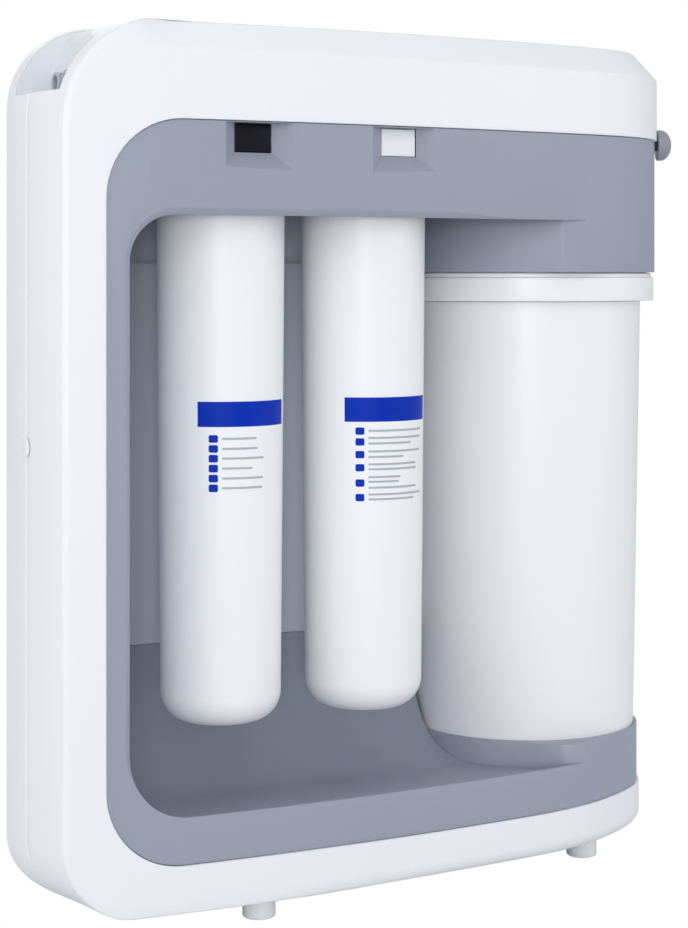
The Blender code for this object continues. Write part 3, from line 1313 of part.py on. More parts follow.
def make_tank():
    foot = TANK_SHOULDER
    profile = [
        (0, TANK_LOW),
        (TANK_FLOOR_RADIUS, TANK_LOW),
        ((TANK_FLOOR_RADIUS + 2 * TANK_FOOT_RADIUS) / 3, TANK_LOW + (foot - TANK_LOW) / 4),
        (TANK_FOOT_RADIUS, foot),
        (TANK_TOP_RADIUS, TANK_HIGH),
        (TANK_TOP_RADIUS - TANK_WALL, TANK_HIGH),
        (TANK_FOOT_RADIUS - TANK_WALL, foot + TANK_WALL),
        (TANK_FLOOR_RADIUS, TANK_LOW + TANK_WALL),
        (0, TANK_LOW + TANK_WALL),
    ]
    finish(shifted(lathe("tank_body", profile, ROUND_LARGE), TANK_X, TANK_Y), "tank_white")

    bore = TANK_TOP_RADIUS - TANK_WALL - RUN
    plug_low = FLANGE_LOW - PLUG_DEPTH
    groove_low = plug_low + PLUG_DEPTH / 3
    groove = bore - SEAL_THICKNESS
    neck = COLLAR_BORE - GAP
    head_profile = [
        (TANK_PORT_BORE, plug_low),
        (groove, plug_low),
        (groove, groove_low),
        (groove - GAP, groove_low),
        (groove - GAP, groove_low + 2 * SEAL_THICKNESS),
        (bore - RUN, groove_low + 2 * SEAL_THICKNESS),
        (bore - RUN, FLANGE_LOW),
        (FLANGE_RADIUS - FLANGE_EDGE, FLANGE_LOW),
        (FLANGE_RADIUS, FLANGE_LOW + FLANGE_EDGE),
        (FLANGE_RADIUS, FLANGE_HIGH - FLANGE_EDGE),
        (FLANGE_RADIUS - FLANGE_EDGE / 2, FLANGE_HIGH),
        (FLANGE_STEP_RADIUS, FLANGE_HIGH),
        (FLANGE_STEP_RADIUS, HOOD_COLLAR_LOW - GAP),
        (neck, HOOD_COLLAR_LOW - GAP),
        (neck, NECK_TOP),
        (TANK_PORT_RADIUS, NECK_TOP),
        (TANK_PORT_RADIUS, DECK_LOW - GAP),
        (TANK_PORT_BORE, DECK_LOW - GAP),
    ]
    finish(shifted(lathe("tank_head", head_profile, ROUND_LARGE, ring=True), TANK_X, TANK_Y),
           "tank_white")

    seal_radius = groove + SEAL_THICKNESS / 2
    seal = make_seal("tank_seal", seal_radius, SEAL_THICKNESS / 2, groove_low + SEAL_THICKNESS,
                     ROUND_LARGE)
    finish(shifted(seal, TANK_X, TANK_Y), "seal_rubber")

    bag_profile = [(0, BAG_LOW)]
    for share in (1, 2, 3, 4, 5):
        turn = math.pi * share / 7
        reach = math.sin(turn) ** BAG_FULLNESS
        bag_profile.append((
            BAG_RADIUS * reach,
            BAG_LOW + (BAG_HIGH - BAG_LOW) * (1 - math.cos(turn)) / 2,
        ))
    bag_profile += [(BAG_NECK_RADIUS, BAG_HIGH), (BAG_NECK_RADIUS, plug_low - GAP),
                    (0, plug_low - GAP)]
    finish(shifted(lathe("tank_bag", bag_profile, ROUND_SMALL), TANK_X, TANK_Y), "bag_rubber")


# Tube ports

def port_depths():
    return [PORT_FIRST_DEPTH + PORT_PITCH * i for i in range(3)]


def make_connection_panel():
    panel = casing_solid("connection_panel", FRAME_LAP_INSET, PANEL_LOW, HEIGHT - FRAME_LAP_INSET)
    outer = prism("panel_outer", pocket_outline(POCKET_WALL), "Y",
                  FRONT + POCKET_FRONT_DEPTH - POCKET_WALL,
                  FRONT + POCKET_BACK_DEPTH + POCKET_WALL)
    keep_common(panel, outer)
    cut(panel, prism("pocket", pocket_outline(0), "Y",
                     FRONT + POCKET_FRONT_DEPTH, FRONT + POCKET_BACK_DEPTH))
    for depth in port_depths():
        hole = cylinder("port_hole", COLLET_RADIUS + GAP, -OVERCUT, POCKET_WALL + OVERCUT,
                        ROUND_SMALL)
        cut(panel, along_x(hole, POCKET_WALL_X, FRONT + depth, PORT_HEIGHT))
    return finish(panel, "white_plastic")


def make_ports():
    depths = port_depths()
    block = box("port_block", (PORT_BLOCK_X, PORT_BLOCK_X + PORT_BLOCK_LENGTH),
                (FRONT + depths[0] - PORT_BLOCK_MARGIN, FRONT + depths[-1] + PORT_BLOCK_MARGIN),
                (DECK_TOP + GAP, PORT_HEIGHT + PORT_BLOCK_MARGIN))
    socket_depth = COLLET_LENGTH + COLLET_TRAVEL + RUN
    for depth in depths:
        socket = cylinder("socket", COLLET_RADIUS + GAP, -OVERCUT, socket_depth, ROUND_SMALL)
        cut(block, along_x(socket, PORT_BLOCK_X, FRONT + depth, PORT_HEIGHT))
    finish(block, "dark_plastic")
    face = -COLLET_STANDOFF
    end = POCKET_WALL + COLLET_LENGTH
    for name, depth in zip(("tap", "inlet", "drain"), depths):
        profile = [
            (COLLET_BORE, face - COLLET_FLANGE_THICKNESS),
            (COLLET_FLANGE_RADIUS, face - COLLET_FLANGE_THICKNESS),
            (COLLET_FLANGE_RADIUS, face),
            (COLLET_RADIUS, face),
            (COLLET_RADIUS, end),
            (COLLET_BORE, end),
        ]
        collet = lathe(f"{name}_collet", profile, ROUND_SMALL, ring=True)
        place = (POCKET_WALL_X, FRONT + depth, PORT_HEIGHT)
        finish(along_x(collet, *place), "collet_grey", place)


# Mixing knob and valve

def make_knob():
    seat = END_RADIUS + RUN
    tip = seat + KNOB_LENGTH
    profile = [(KNOB_BORE, seat), (KNOB_RADIUS, seat)]
    for k in range(CORNER_STEPS + 1):
        turn = math.pi / 2 * k / CORNER_STEPS
        profile.append((
            KNOB_RADIUS * math.cos(turn),
            seat + KNOB_EDGE + (KNOB_LENGTH - KNOB_EDGE) * math.sin(turn),
        ))
    profile = profile[:-1] + [(0, tip)]
    profile += [(0, seat + KNOB_SOCKET), (KNOB_BORE, seat + KNOB_SOCKET)]
    knob = lathe("mixing_knob", profile, ROUND_MEDIUM, ring=True)
    slot = box("slot", (-KNOB_SLOT_WIDTH / 2, KNOB_SLOT_WIDTH / 2),
               (-KNOB_RADIUS, KNOB_RADIUS), (tip - KNOB_SLOT_DEPTH, tip + OVERCUT))
    cut(knob, slot)
    direction = Vector((math.cos(KNOB_ANGLE), math.sin(KNOB_ANGLE), 0))
    pivot = Vector((TANK_X, TANK_Y, KNOB_HEIGHT)) + direction * seat
    finish(along_end_radius(knob, KNOB_HEIGHT), "grey_plastic", tuple(pivot))

    inner = VALVE_OUTER - VALVE_BORE_DEPTH + RUN
    stem = cylinder("mixing_stem", KNOB_STEM_RADIUS, inner, seat + KNOB_SOCKET - GAP, ROUND_SMALL)
    finish(along_end_radius(stem, KNOB_HEIGHT), "dark_plastic", tuple(pivot))

    valve = cylinder("mixing_valve", VALVE_RADIUS, VALVE_INNER, VALVE_OUTER, ROUND_SMALL)
    bore = cylinder("valve_bore", KNOB_STEM_RADIUS + GAP, VALVE_OUTER - VALVE_BORE_DEPTH,
                    VALVE_OUTER + OVERCUT, ROUND_SMALL)
    cut(valve, bore)
    finish(along_end_radius(valve, KNOB_HEIGHT), "dark_plastic")


# Water parts on the deck

def inline_part(name, length, radius, x, depth, colour):
    """A round in-line fitting with a narrower nose at each end, lying on the deck."""
    nose = radius * INLINE_END_SHARE
    half = length / 2
    profile = [
        (0, -half), (nose, -half), (nose, -half + INLINE_END_LENGTH),
        (radius, -half + INLINE_END_LENGTH), (radius, half - INLINE_END_LENGTH),
        (nose, half - INLINE_END_LENGTH), (nose, half), (0, half),
    ]
    part = lathe(name, profile, ROUND_SMALL)
    finish(along_x(part, x, FRONT + depth, DECK_TOP + GAP + radius), colour)


def make_shutoff():
    half = SHUTOFF_LENGTH / 2
    low = DECK_TOP + GAP
    body = box("shutoff_valve", (SHUTOFF_X - half, SHUTOFF_X + half),
               (FRONT + SHUTOFF_DEPTH - SHUTOFF_WIDTH / 2, FRONT + SHUTOFF_DEPTH + SHUTOFF_WIDTH / 2),
               (low, low + SHUTOFF_HEIGHT))
    dome = cylinder("dome", SHUTOFF_DOME_RADIUS, low + SHUTOFF_HEIGHT / 2,
                    low + SHUTOFF_HEIGHT + SHUTOFF_DOME_HEIGHT, ROUND_SMALL)
    join(body, shifted(dome, SHUTOFF_X, FRONT + SHUTOFF_DEPTH))
    finish(body, "dark_plastic")


def smooth_route(start, end, bow):
    """A flat route that leaves and arrives along X and bows to one side between."""
    lead_in, lead_out = start[0] + TUBE_RADIUS, end[0] - TUBE_RADIUS
    points = [Vector(start)]
    for k in range(TUBE_STEPS + 1):
        share = k / TUBE_STEPS
        blend = smooth_step(share)
        x = lead_in + (lead_out - lead_in) * share
        y = start[1] + (end[1] - start[1]) * blend + bow * math.sin(math.pi * share) ** 2
        z = start[2] + (end[2] - start[2]) * blend
        points.append(Vector((x, y, z)))
    points.append(Vector(end))
    return points


def make_tubes():
    port_x = PORT_BLOCK_X + PORT_BLOCK_LENGTH + GAP
    depths = port_depths()
    rest = DECK_TOP + GAP + TUBE_RADIUS
    check_end = CHECK_X + CHECK_LENGTH / 2 + GAP
    routes = {
        "tap_tube": (
            (port_x, FRONT + depths[0], rest),
            (TAP_FITTING_X - FITTING_SIZE / 2 - GAP, FRONT + TAP_FITTING_DEPTH, rest), 0),
        "inlet_tube": (
            (port_x, FRONT + depths[1], rest),
            (SHUTOFF_X - SHUTOFF_LENGTH / 2 - GAP, FRONT + SHUTOFF_DEPTH, rest), INLET_TUBE_BOW),
        "drain_tube": (
            (port_x, FRONT + depths[2], rest),
            (RESTRICTOR_X - RESTRICTOR_LENGTH / 2 - GAP, FRONT + RESTRICTOR_DEPTH,
             DECK_TOP + GAP + RESTRICTOR_RADIUS), 0),
        "tank_tube": (
            (check_end, FRONT + CHECK_DEPTH, DECK_TOP + GAP + CHECK_RADIUS),
            (TANK_FITTING_X - FITTING_SIZE / 2 - GAP, FRONT + TANK_FITTING_DEPTH, rest),
            TANK_TUBE_SAG),
    }
    for name, (start, end, bow) in routes.items():
        tube = sweep(name, smooth_route(start, end, bow), TUBE_RADIUS, 8)
        finish(tube, "tube_plastic")


def build():
    clear_scene()
    make_front_shell()
    make_rear_shell()
    make_screws()
    make_feet()
    make_side_plug()
    make_inner_frame()
    make_floor_tray()
    make_bay_liner()
    make_manifold()
    cores = {
        "prefilter": "carbon_block", "postfilter": "carbon_block", "membrane": "membrane_wrap"}
    buttons = {
        "prefilter": "black_plastic", "postfilter": "white_plastic", "membrane": "black_plastic"}
    for name, x, y, way in cartridge_places():
        make_cartridge(name, x, y, cores[name])
        make_button(name, x, way, buttons[name])
    make_tank()
    make_connection_panel()
    make_ports()
    make_knob()
    inline_part("check_valve", CHECK_LENGTH, CHECK_RADIUS, CHECK_X, CHECK_DEPTH, "dark_plastic")
    inline_part("flow_restrictor", RESTRICTOR_LENGTH, RESTRICTOR_RADIUS, RESTRICTOR_X,
                RESTRICTOR_DEPTH, "white_plastic")
    make_shutoff()
    make_tubes()


build()
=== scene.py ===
# Looks of the under sink water filter. The front faces -Y, +X is to the right and the
# floor is z = 0. Everything is in metres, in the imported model's own frame.
import json
import math

import bmesh
import bpy
from mathutils import Matrix, Vector


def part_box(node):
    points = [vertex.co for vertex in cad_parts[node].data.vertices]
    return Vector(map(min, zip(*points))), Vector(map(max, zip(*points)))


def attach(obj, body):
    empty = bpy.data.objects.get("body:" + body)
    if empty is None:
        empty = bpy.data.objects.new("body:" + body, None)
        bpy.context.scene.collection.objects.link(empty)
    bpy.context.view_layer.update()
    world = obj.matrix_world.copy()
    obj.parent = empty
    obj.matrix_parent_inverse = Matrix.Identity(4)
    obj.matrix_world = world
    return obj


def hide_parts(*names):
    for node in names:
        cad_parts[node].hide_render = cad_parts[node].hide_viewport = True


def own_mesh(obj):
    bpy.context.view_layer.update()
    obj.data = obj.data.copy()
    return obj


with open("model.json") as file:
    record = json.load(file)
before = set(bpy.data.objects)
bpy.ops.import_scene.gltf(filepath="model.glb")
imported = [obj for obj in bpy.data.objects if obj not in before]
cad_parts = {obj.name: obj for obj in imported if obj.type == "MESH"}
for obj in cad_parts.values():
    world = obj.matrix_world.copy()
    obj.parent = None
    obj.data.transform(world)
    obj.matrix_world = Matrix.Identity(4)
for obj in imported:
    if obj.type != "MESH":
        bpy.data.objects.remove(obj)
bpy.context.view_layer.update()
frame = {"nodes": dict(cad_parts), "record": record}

# Sizes shared with the CAD part
LEFT, RIGHT = -0.1855, 0.1855
FRONT, BACK = -0.095, 0.095
HEIGHT, FOOT_HEIGHT = 0.4226, 0.0099
GAP = 0.0003
OVERCUT = 0.006
WELD = 0.00001
CORNER_STEPS, EDGE_STEPS = 14, 6
SEAM = FRONT + 0.045
TANK_X, TANK_Y = 0.1131, -0.009
TANK_LOW, TANK_HIGH, TANK_SHEET = 0.0511, 0.2902, 0.0025
TANK_FLOOR_RADIUS, TANK_FOOT, TANK_FOOT_RISE, TANK_TOP_RADIUS = 0.040, 0.0196, 0.0095, 0.0635
HEAD_PLUG, HEAD_RIM, HEAD_BAND, HEAD_CAP, HEAD_ROUNDING = 0.0595, 0.0706, 0.0693, 0.0667, 0.0012
HEAD_LOW, HEAD_RIM_LOW, HEAD_RIM_HIGH, HEAD_BAND_HIGH = 0.2795, 0.2905, 0.3029, 0.3053
HEAD_HIGH, SPOUT_HIGH, SPOUT_RADIUS, SPOUT_BORE = 0.3206, 0.3825, 0.008, 0.004
END_RADIUS, BASE_END_RADIUS, END_BLEND = 0.0724, 0.0628, 0.160
BASE_LEVEL, HOOD_LEVEL = 0.0726, 0.2886
FRONT_APEX_X, FRONT_ARC = -0.0471, 1.11486
BACK_APEX_X, BACK_ARC = -0.0095, 1.12006
SIDE_ARC, SIDE_MIDDLE_Y, FLANK_ARC, CREASE = 0.19, FRONT + 0.050, 0.50, 0.0030
FLANK_START, FLANK_END = (LEFT + 0.0026, FRONT + 0.080), (LEFT + 0.0575, FRONT + 0.170)
BACK_BLEND, FLANK_BLEND = 0.050, 0.014
TOP_CORNER, REAR_TOP_CORNER = 0.050, 0.040
BOTTOM_CORNER, REAR_CORNER, CORNER_MARGIN = 0.037, 0.028, 0.015
CORNER_CHANGE_START, CORNER_CHANGE_LENGTH = 0.020, 0.055
CHAMFER_WIDTH, CHAMFER_HEIGHT = 0.0125, 0.014
CHAMFER_START, CHAMFER_FADE = LEFT + 0.031, 0.030
BOTTOM_EDGE, BOTTOM_EDGE_LEAST = 0.0075, 0.15
BOTTOM_EDGE_START, BOTTOM_EDGE_FADE = LEFT + 0.075, 0.170
SHELL_WALL, SHELL_ROUNDING, FRAME_ROUNDING = 0.003, 0.0005, 0.0003
FRAME_RECESS, FRAME_INNER, FRAME_LAP = 0.0012, 0.0046, 0.006
OPENING_LOW, OPENING_HIGH, OPENING_CORNER = 0.0321, 0.3763, 0.037
FRONT_OPENING_LEFT, REAR_OPENING_LEFT = -0.1612, -0.1180
WINDOW_LOW, WINDOW_HIGH, WINDOW_MARGIN = 0.0540, 0.3321, 0.0122
WINDOW_LOW_CORNER, WINDOW_HIGH_CORNER = 0.028, 0.022
PARTITION_Y, PARTITION_SETBACK, SHEET = FRONT + 0.106, 0.004, 0.0023
TRAY_TOP, TRAY_SHEET, SCOOP_START = 0.0503, 0.0025, FRONT + 0.048
SCOOP_HIGH, DECK_LOW, BAY_WALL_HIGH = 0.1170, 0.3828, 0.3456
PARTITION_HIGH, PARTITION_END, REAR_WALL_START = 0.3101, 0.040, PARTITION_Y + 0.0028
RIB_HIGH, RIB_HALF, RIB_PROUD, RIB_FIRST, RIB_PITCH, RIBS = 0.3026, 0.001, 0.0025, -0.1120, 0.0393, 4
CUP_FLOOR, CUP_SHEET, CUP_LOW, CUP_RIM, CUP_HIGH = 0.0481, 0.0022, 0.0430, 0.0636, 0.070
CUP_BORE, CUP_HOLE, CUP_START, CUP_FILLET, TRAY_ROOM = 0.0599, 0.0573, 0.104, 0.015, 0.0619
COLLAR_LOW, COLLAR_HIGH, COLLAR_LAP, COLLAR_BORE = 0.3056, 0.3426, 0.004, 0.0670
COLLAR_START, COLLAR_FILLET, COLLAR_BORE_LOW = 0.1035, 0.020, 0.300
POCKET_WALL_X, POCKET_LEDGE, POCKET_BEND, POCKET_TOP_X = -0.164, 0.3886, 0.4056, -0.1385
POCKET_FRONT, POCKET_BACK, POCKET_SHEET = FRONT + 0.0165, FRONT + 0.0665, 0.0022
PANEL_INSET, PORT_HEIGHT, PORT_HOLE = 0.0010, 0.3952, 0.0045
PORTS = {"tap": 0.030, "inlet": 0.0435, "drain": 0.057}
COLLET_BORE, COLLET_RADIUS, COLLET_FLANGE = 0.0033, 0.0042, 0.0050
COLLET_FRONT, COLLET_BACK, COLLET_ROUNDING = -0.0031, 0.0152, 0.0004
CARTRIDGES = {
    "prefilter": (-0.0864, -0.050, -1),
    "postfilter": (-0.0078, -0.050, -1),
    "membrane": (-0.0471, 0.050, 1),
}
CARTRIDGE_LOW, CARTRIDGE_JOINT, CARTRIDGE_WALL = 0.0886, 0.3356, 0.0022
CARTRIDGE_LOW_RADIUS, CARTRIDGE_WIDENS, CARTRIDGE_RADIUS = 0.0291, 0.0020, 0.0311
DOME_RADIUS, DOME_FLAT, DOME_RISE, DOME_FLOOR = 0.0140, 0.0004, 0.0146, 0.015
SPIGOT_RADIUS, CAP_RIM_HIGH, NECK_LOW, NECK_HIGH = 0.0286, 0.3400, 0.3446, 0.3766
NECK_RADIUS, SEAL_GROOVE_RADIUS, CATCH_GROOVE_RADIUS = 0.0100, 0.0084, 0.0082
LUG_RADIUS, LUG_HEIGHT, LUG_HALF_ANGLE = 0.0130, 0.003, 18
SEAL_GROOVE, CATCH_GROOVE, LUG_LOW = (0.35710, 0.3596), (0.3651, 0.3716), 0.3504
FOOT_RADIUS, FOOT_HIGH, FOOT_PEG, FOOT_PEG_HIGH = 0.0079, 0.0096, 0.0030, 0.0156
PLUG_RADIUS, PLUG_PEG, PLUG_DEPTH, PLUG_HEIGHT = 0.0046, 0.0020, 0.007, 0.2241
FEET = {
    "foot_front_left": (-0.0800, -0.0795), "foot_front_right": (0.1176, -0.0593),
    "foot_rear_left": (-0.0800, 0.0795), "foot_rear_right": (0.1176, 0.0593),
}
LABEL_BAND, LABEL_BAND_BEARINGS = (0.2325, 0.2444), (-45.7, 50)
SQUARE_BEARINGS, SQUARE_HALF, SQUARE_CORNER = (-35.5, -27.1), 0.0018, 0.0006
BAR_START, BAR_HALF = -23.4, 0.0005
SIX_ROWS = (0.2269, 0.2222, 0.2176, 0.2129, 0.2082, 0.2036)
# Heights of the label's squares, and the heights and end bearings of its bars
LABEL_ROWS = {
    "prefilter": (SIX_ROWS, list(zip(SIX_ROWS, (9.4, 10.5, 17.7, 5, 17, 16)))),
    "postfilter": (
        (0.2280, 0.2227, 0.2165, 0.2101, 0.2026, 0.1955),
        ((0.2281, 41), (0.2246, 39), (0.2219, 22), (0.2180, 38), (0.2153, 12.5), (0.2117, 30),
         (0.2093, 31), (0.2055, 9), (0.2032, 7), (0.2003, 31), (0.1970, 40), (0.1946, 27))),
    "membrane": (SIX_ROWS, list(zip(SIX_ROWS, (14, 22, 9, 19, 6, 17)))),
}
BUTTON_WIDTH, BUTTON_LOW, BUTTON_HIGH = 0.0188, 0.3620, 0.3753
BUTTON_FACE, BUTTON_BACK, BUTTON_LIP, BUTTON_ROUNDING = 0.0086, 0.0142, 0.002, 0.0006
FUNNEL_HIGH, FUNNEL_GROWTH, FUNNEL_FALL, CATCH_MIDDLE = 0.3756, 0.009, 0.0087, 0.36835
BLOCK_HALF, BLOCK_DEPTH, BLOCK_LOW, BLOCK_HIGH = 0.022, 0.0125, 0.3497, 0.3793
BUTTON_ROOM_DEPTH, PUSHER_RADIUS, PUSHER_END = 0.0185, 0.0042, 0.0207
BUTTON_TRAVEL, SPRING_WIRE, SPRING_RADIUS, SPRING_TURNS = 0.0035, 0.00045, 0.0056, 5
KNOB_ANGLE, KNOB_HEIGHT, KNOB_RADIUS, KNOB_LENGTH = math.radians(-28), 0.3746, 0.0083, 0.0080
STEM_RADIUS, STEM_HOLE, STEM_HOLE_ENDS = 0.0031, 0.0033, (0.047, 0.0784)
SCREW_SIDES = {"left": -0.0605, "right": 0.0355}
SCREW_LEVELS = {"lower": 0.0191, "upper": 0.3951}
SCREW_DEPTH, SCREW_HEAD, SCREW_HOLE, BOSS_DEPTH, BOSS_RADIUS = 0.0197, 0.0036, 0.0048, 0.014, 0.0058

# Each lamp's place, width in metres and power in watts
LAMP_TARGET = (0, 0, 0.2)
LAMPS = {
    "key": ((-0.9, -2.2, 1.5), 1.8, 9),
    "front_fill": ((-1.34, -2.73, 0.45), 0.6, 17),
    "left_fill": ((-2.4, -0.2, 0.7), 1.6, 11),
    "right_fill": ((1.9, -1.5, 0.9), 1.4, 7),
    "back_fill": ((0.8, 2.4, 1.1), 1.6, 9),
    "top": ((0.2, -0.3, 2.4), 1.6, 3),
}
# The photo's level camera, solved from the casing's edges; lens and sensor in millimetres
CAMERA_PLACE, CAMERA_TURN = (-0.5345, -1.0203, 0.3042), math.radians(-28)
CAMERA_LENS, CAMERA_SENSOR, CAMERA_SHIFT = 85.34, 36, -0.2037


# Mesh helpers

def add_object(name, vertices, faces):
    mesh = bpy.data.meshes.new(name)
    mesh.from_pydata([tuple(v) for v in vertices], [], faces)
    work = bmesh.new()
    work.from_mesh(mesh)
    bmesh.ops.recalc_face_normals(work, faces=work.faces)
    work.to_mesh(mesh)
    work.free()
    item = bpy.data.objects.new(name, mesh)
    bpy.context.scene.collection.objects.link(item)
    return item


def loft(name, rings):
    count = len(rings[0])
    vertices = [point for ring in rings for point in ring]
    faces = []
    for level in range(len(rings) - 1):
        for i in range(count):
            j = (i + 1) % count
            low, high = level * count, (level + 1) * count
            faces.append((low + i, low + j, high + j, high + i))
    faces.append(tuple(reversed(range(count))))
    faces.append(tuple(range((len(rings) - 1) * count, len(rings) * count)))
    return add_object(name, vertices, faces)


def prism(name, outline, axis, start, end):
    place = {
        "X": lambda u, v, t: (t, u, v),
        "Y": lambda u, v, t: (u, t, v),
        "Z": lambda u, v, t: (u, v, t),
    }[axis]
    return loft(name, [[place(u, v, t) for u, v in outline] for t in (start, end)])


def box(name, x, y, z):
    outline = [(x[0], y[0]), (x[1], y[0]), (x[1], y[1]), (x[0], y[1])]
    return prism(name, outline, "Z", z[0], z[1])


def lathe(name, profile, segments, ring=False):
    vertices, rows = [], []
    for radius, height in profile:
        if radius == 0:
            rows.append([len(vertices)] * segments)
            vertices.append((0, 0, height))
            continue
        rows.append([len(vertices) + i for i in range(segments)])
        for i in range(segments):
            angle = 2 * math.pi * i / segments
            vertices.append((radius * math.cos(angle), radius * math.sin(angle), height))
    if ring:
        rows.append(rows[0])
    faces = []
    for low, high in zip(rows, rows[1:]):
        for i in range(segments):
            j = (i + 1) % segments
            corners = []
            for corner in (low[i], low[j], high[j], high[i]):
                if corner not in corners:
                    corners.append(corner)
            if len(corners) > 2:
                faces.append(tuple(corners))
    return add_object(name, vertices, faces)


def quarter(steps):
    """The angles of a quarter circle, in equal steps."""
    return [math.pi / 2 * k / steps for k in range(steps + 1)]


def cylinder(name, radius, low, high, segments=48):
    return lathe(name, [(0, low), (radius, low), (radius, high), (0, high)], segments)


def apply_modifiers(item):
    bpy.context.view_layer.update()
    graph = bpy.context.evaluated_depsgraph_get()
    result = bpy.data.meshes.new_from_object(item.evaluated_get(graph))
    old = item.data
    item.modifiers.clear()
    item.data = result
    bpy.data.meshes.remove(old)
    return item


def combine(target, tool, operation):
    modifier = target.modifiers.new(operation.lower(), "BOOLEAN")
    modifier.operation = operation
    modifier.solver = "EXACT"
    modifier.object = tool
    apply_modifiers(target)
    work = bmesh.new()
    work.from_mesh(target.data)
    bmesh.ops.remove_doubles(work, verts=work.verts, dist=WELD)
    bmesh.ops.dissolve_degenerate(work, edges=work.edges, dist=WELD)
    work.to_mesh(target.data)
    work.free()
    bpy.data.objects.remove(tool, do_unlink=True)
    return target


def cut(target, tool):
    return combine(target, tool, "DIFFERENCE")


def join(target, tool):
    return combine(target, tool, "UNION")


def keep_common(target, tool):
    return combine(target, tool, "INTERSECT")


def move_mesh(item, matrix):
    item.data.transform(matrix)
    return item


def shifted(item, x, y):
    return move_mesh(item, Matrix.Translation((x, y, 0)))


def along_x(item, x, y, z):
    return move_mesh(item, Matrix.Translation((x, y, z)) @ Matrix.Rotation(math.pi / 2, 4, "Y"))


def along_y(item, x, y, z):
    return move_mesh(item, Matrix.Translation((x, y, z)) @ Matrix.Rotation(-math.pi / 2, 4, "X"))


def along_end_radius(item, height):
    turn = Matrix.Rotation(KNOB_ANGLE, 4, "Z") @ Matrix.Rotation(math.pi / 2, 4, "Y")
    return move_mesh(item, Matrix.Translation((TANK_X, TANK_Y, height)) @ turn)


def round_edges(item, width):
    bevel = item.modifiers.new("round", "BEVEL")
    bevel.width = width
    bevel.segments = 3
    bevel.limit_method = "ANGLE"
    bevel.angle_limit = math.radians(35)
    bevel.use_clamp_overlap = False
    bevel.miter_outer = "MITER_ARC"
    return apply_modifiers(item)


# Plan of the casing as smooth arcs

def joining_arc(first, second, radius):
    """Centre, radius, start and turn of the arc inside two circles that touches both."""
    (a, ra), (b, rb) = first, second
    reach_a, reach_b = abs(ra - radius), abs(rb - radius)
    span = (b - a).length
    unit = (b - a) / span
    side = Vector((-unit.y, unit.x))
    along = (reach_a ** 2 - reach_b ** 2 + span ** 2) / (2 * span)
    rise = math.sqrt(max(reach_a ** 2 - along ** 2, 0))
    choices = []
    for sign in (-1, 1):
        centre = a + unit * along + side * (rise * sign)
        start = (centre - a) * (ra - radius)
        end = (centre - b) * (rb - radius)
        start_angle = math.atan2(start.y, start.x)
        end_angle = math.atan2(end.y, end.x)
        choices.append(((end_angle - start_angle) % (2 * math.pi), centre, start_angle))
    turn, centre, start_angle = min(choices, key=lambda choice: choice[0])
    return centre, radius, start_angle, turn


def flank_circle():
    start, end = Vector(FLANK_START), Vector(FLANK_END)
    half = (end - start) / 2
    inward = Vector((half.y, -half.x)).normalized()
    return start + half + inward * math.sqrt(FLANK_ARC ** 2 - half.length_squared), FLANK_ARC


def plan_outline(inset, end_radius):
    """Points and outward normals of the casing's plan, moved inward by the inset."""
    # Each row is a circle, its steps, the radius that joins it to the next and that arc's steps
    rows = [
        ((Vector((FRONT_APEX_X, FRONT + FRONT_ARC)), FRONT_ARC), 64, END_BLEND, 12),
        ((Vector((TANK_X, TANK_Y)), end_radius), 44, END_BLEND, 12),
        ((Vector((BACK_APEX_X, BACK - BACK_ARC)), BACK_ARC), 16, BACK_BLEND, 16),
        (flank_circle(), 6, FLANK_BLEND, 9),
        ((Vector((LEFT + SIDE_ARC, SIDE_MIDDLE_Y)), SIDE_ARC), 9, max(CREASE, inset + CREASE), 8),
    ]
    joints = []
    for i, (circle, _, radius, _) in enumerate(rows):
        joints.append(joining_arc(circle, rows[(i + 1) % len(rows)][0], radius))
    points = []
    for i, ((centre, radius), steps, _, joint_steps) in enumerate(rows):
        _, _, last_start, last_turn = joints[i - 1]
        start = last_start + last_turn
        turn = (joints[i][2] - start) % (2 * math.pi)
        arcs = (centre, radius, start, turn, steps), (*joints[i], joint_steps)
        for arc_centre, arc_radius, arc_start, arc_turn, arc_steps in arcs:
            for k in range(arc_steps):
                angle = arc_start + arc_turn * k / arc_steps
                normal = Vector((math.cos(angle), math.sin(angle)))
                points.append((arc_centre + normal * (arc_radius - inset), normal))
    return points


def smooth_step(value):
    value = min(max(value, 0), 1)
    return value * value * (3 - 2 * value)


def left_squeeze(z, inset, depth):
    """How far the rounded corners push the left end inward at a height, and where from."""
    change = smooth_step((depth - CORNER_CHANGE_START) / CORNER_CHANGE_LENGTH)
    low_radius = BOTTOM_CORNER + (REAR_CORNER - BOTTOM_CORNER) * change
    high_radius = TOP_CORNER + (REAR_TOP_CORNER - TOP_CORNER) * change
    if z > HEIGHT - high_radius:
        radius, rise = high_radius, z - HEIGHT + high_radius
    else:
        radius, rise = low_radius, max(FOOT_HEIGHT + low_radius - z, 0)
    inner = radius - inset
    push = inner - math.sqrt(max(inner ** 2 - rise ** 2, 0))
    return push, LEFT + radius + CORNER_MARGIN


def front_face_y(x, inset):
    reach = FRONT_ARC - inset
    return FRONT + FRONT_ARC - math.sqrt(reach ** 2 - (x - FRONT_APEX_X) ** 2)


def back_face_y(x):
    return BACK - BACK_ARC + math.sqrt(BACK_ARC ** 2 - (x - BACK_APEX_X) ** 2)


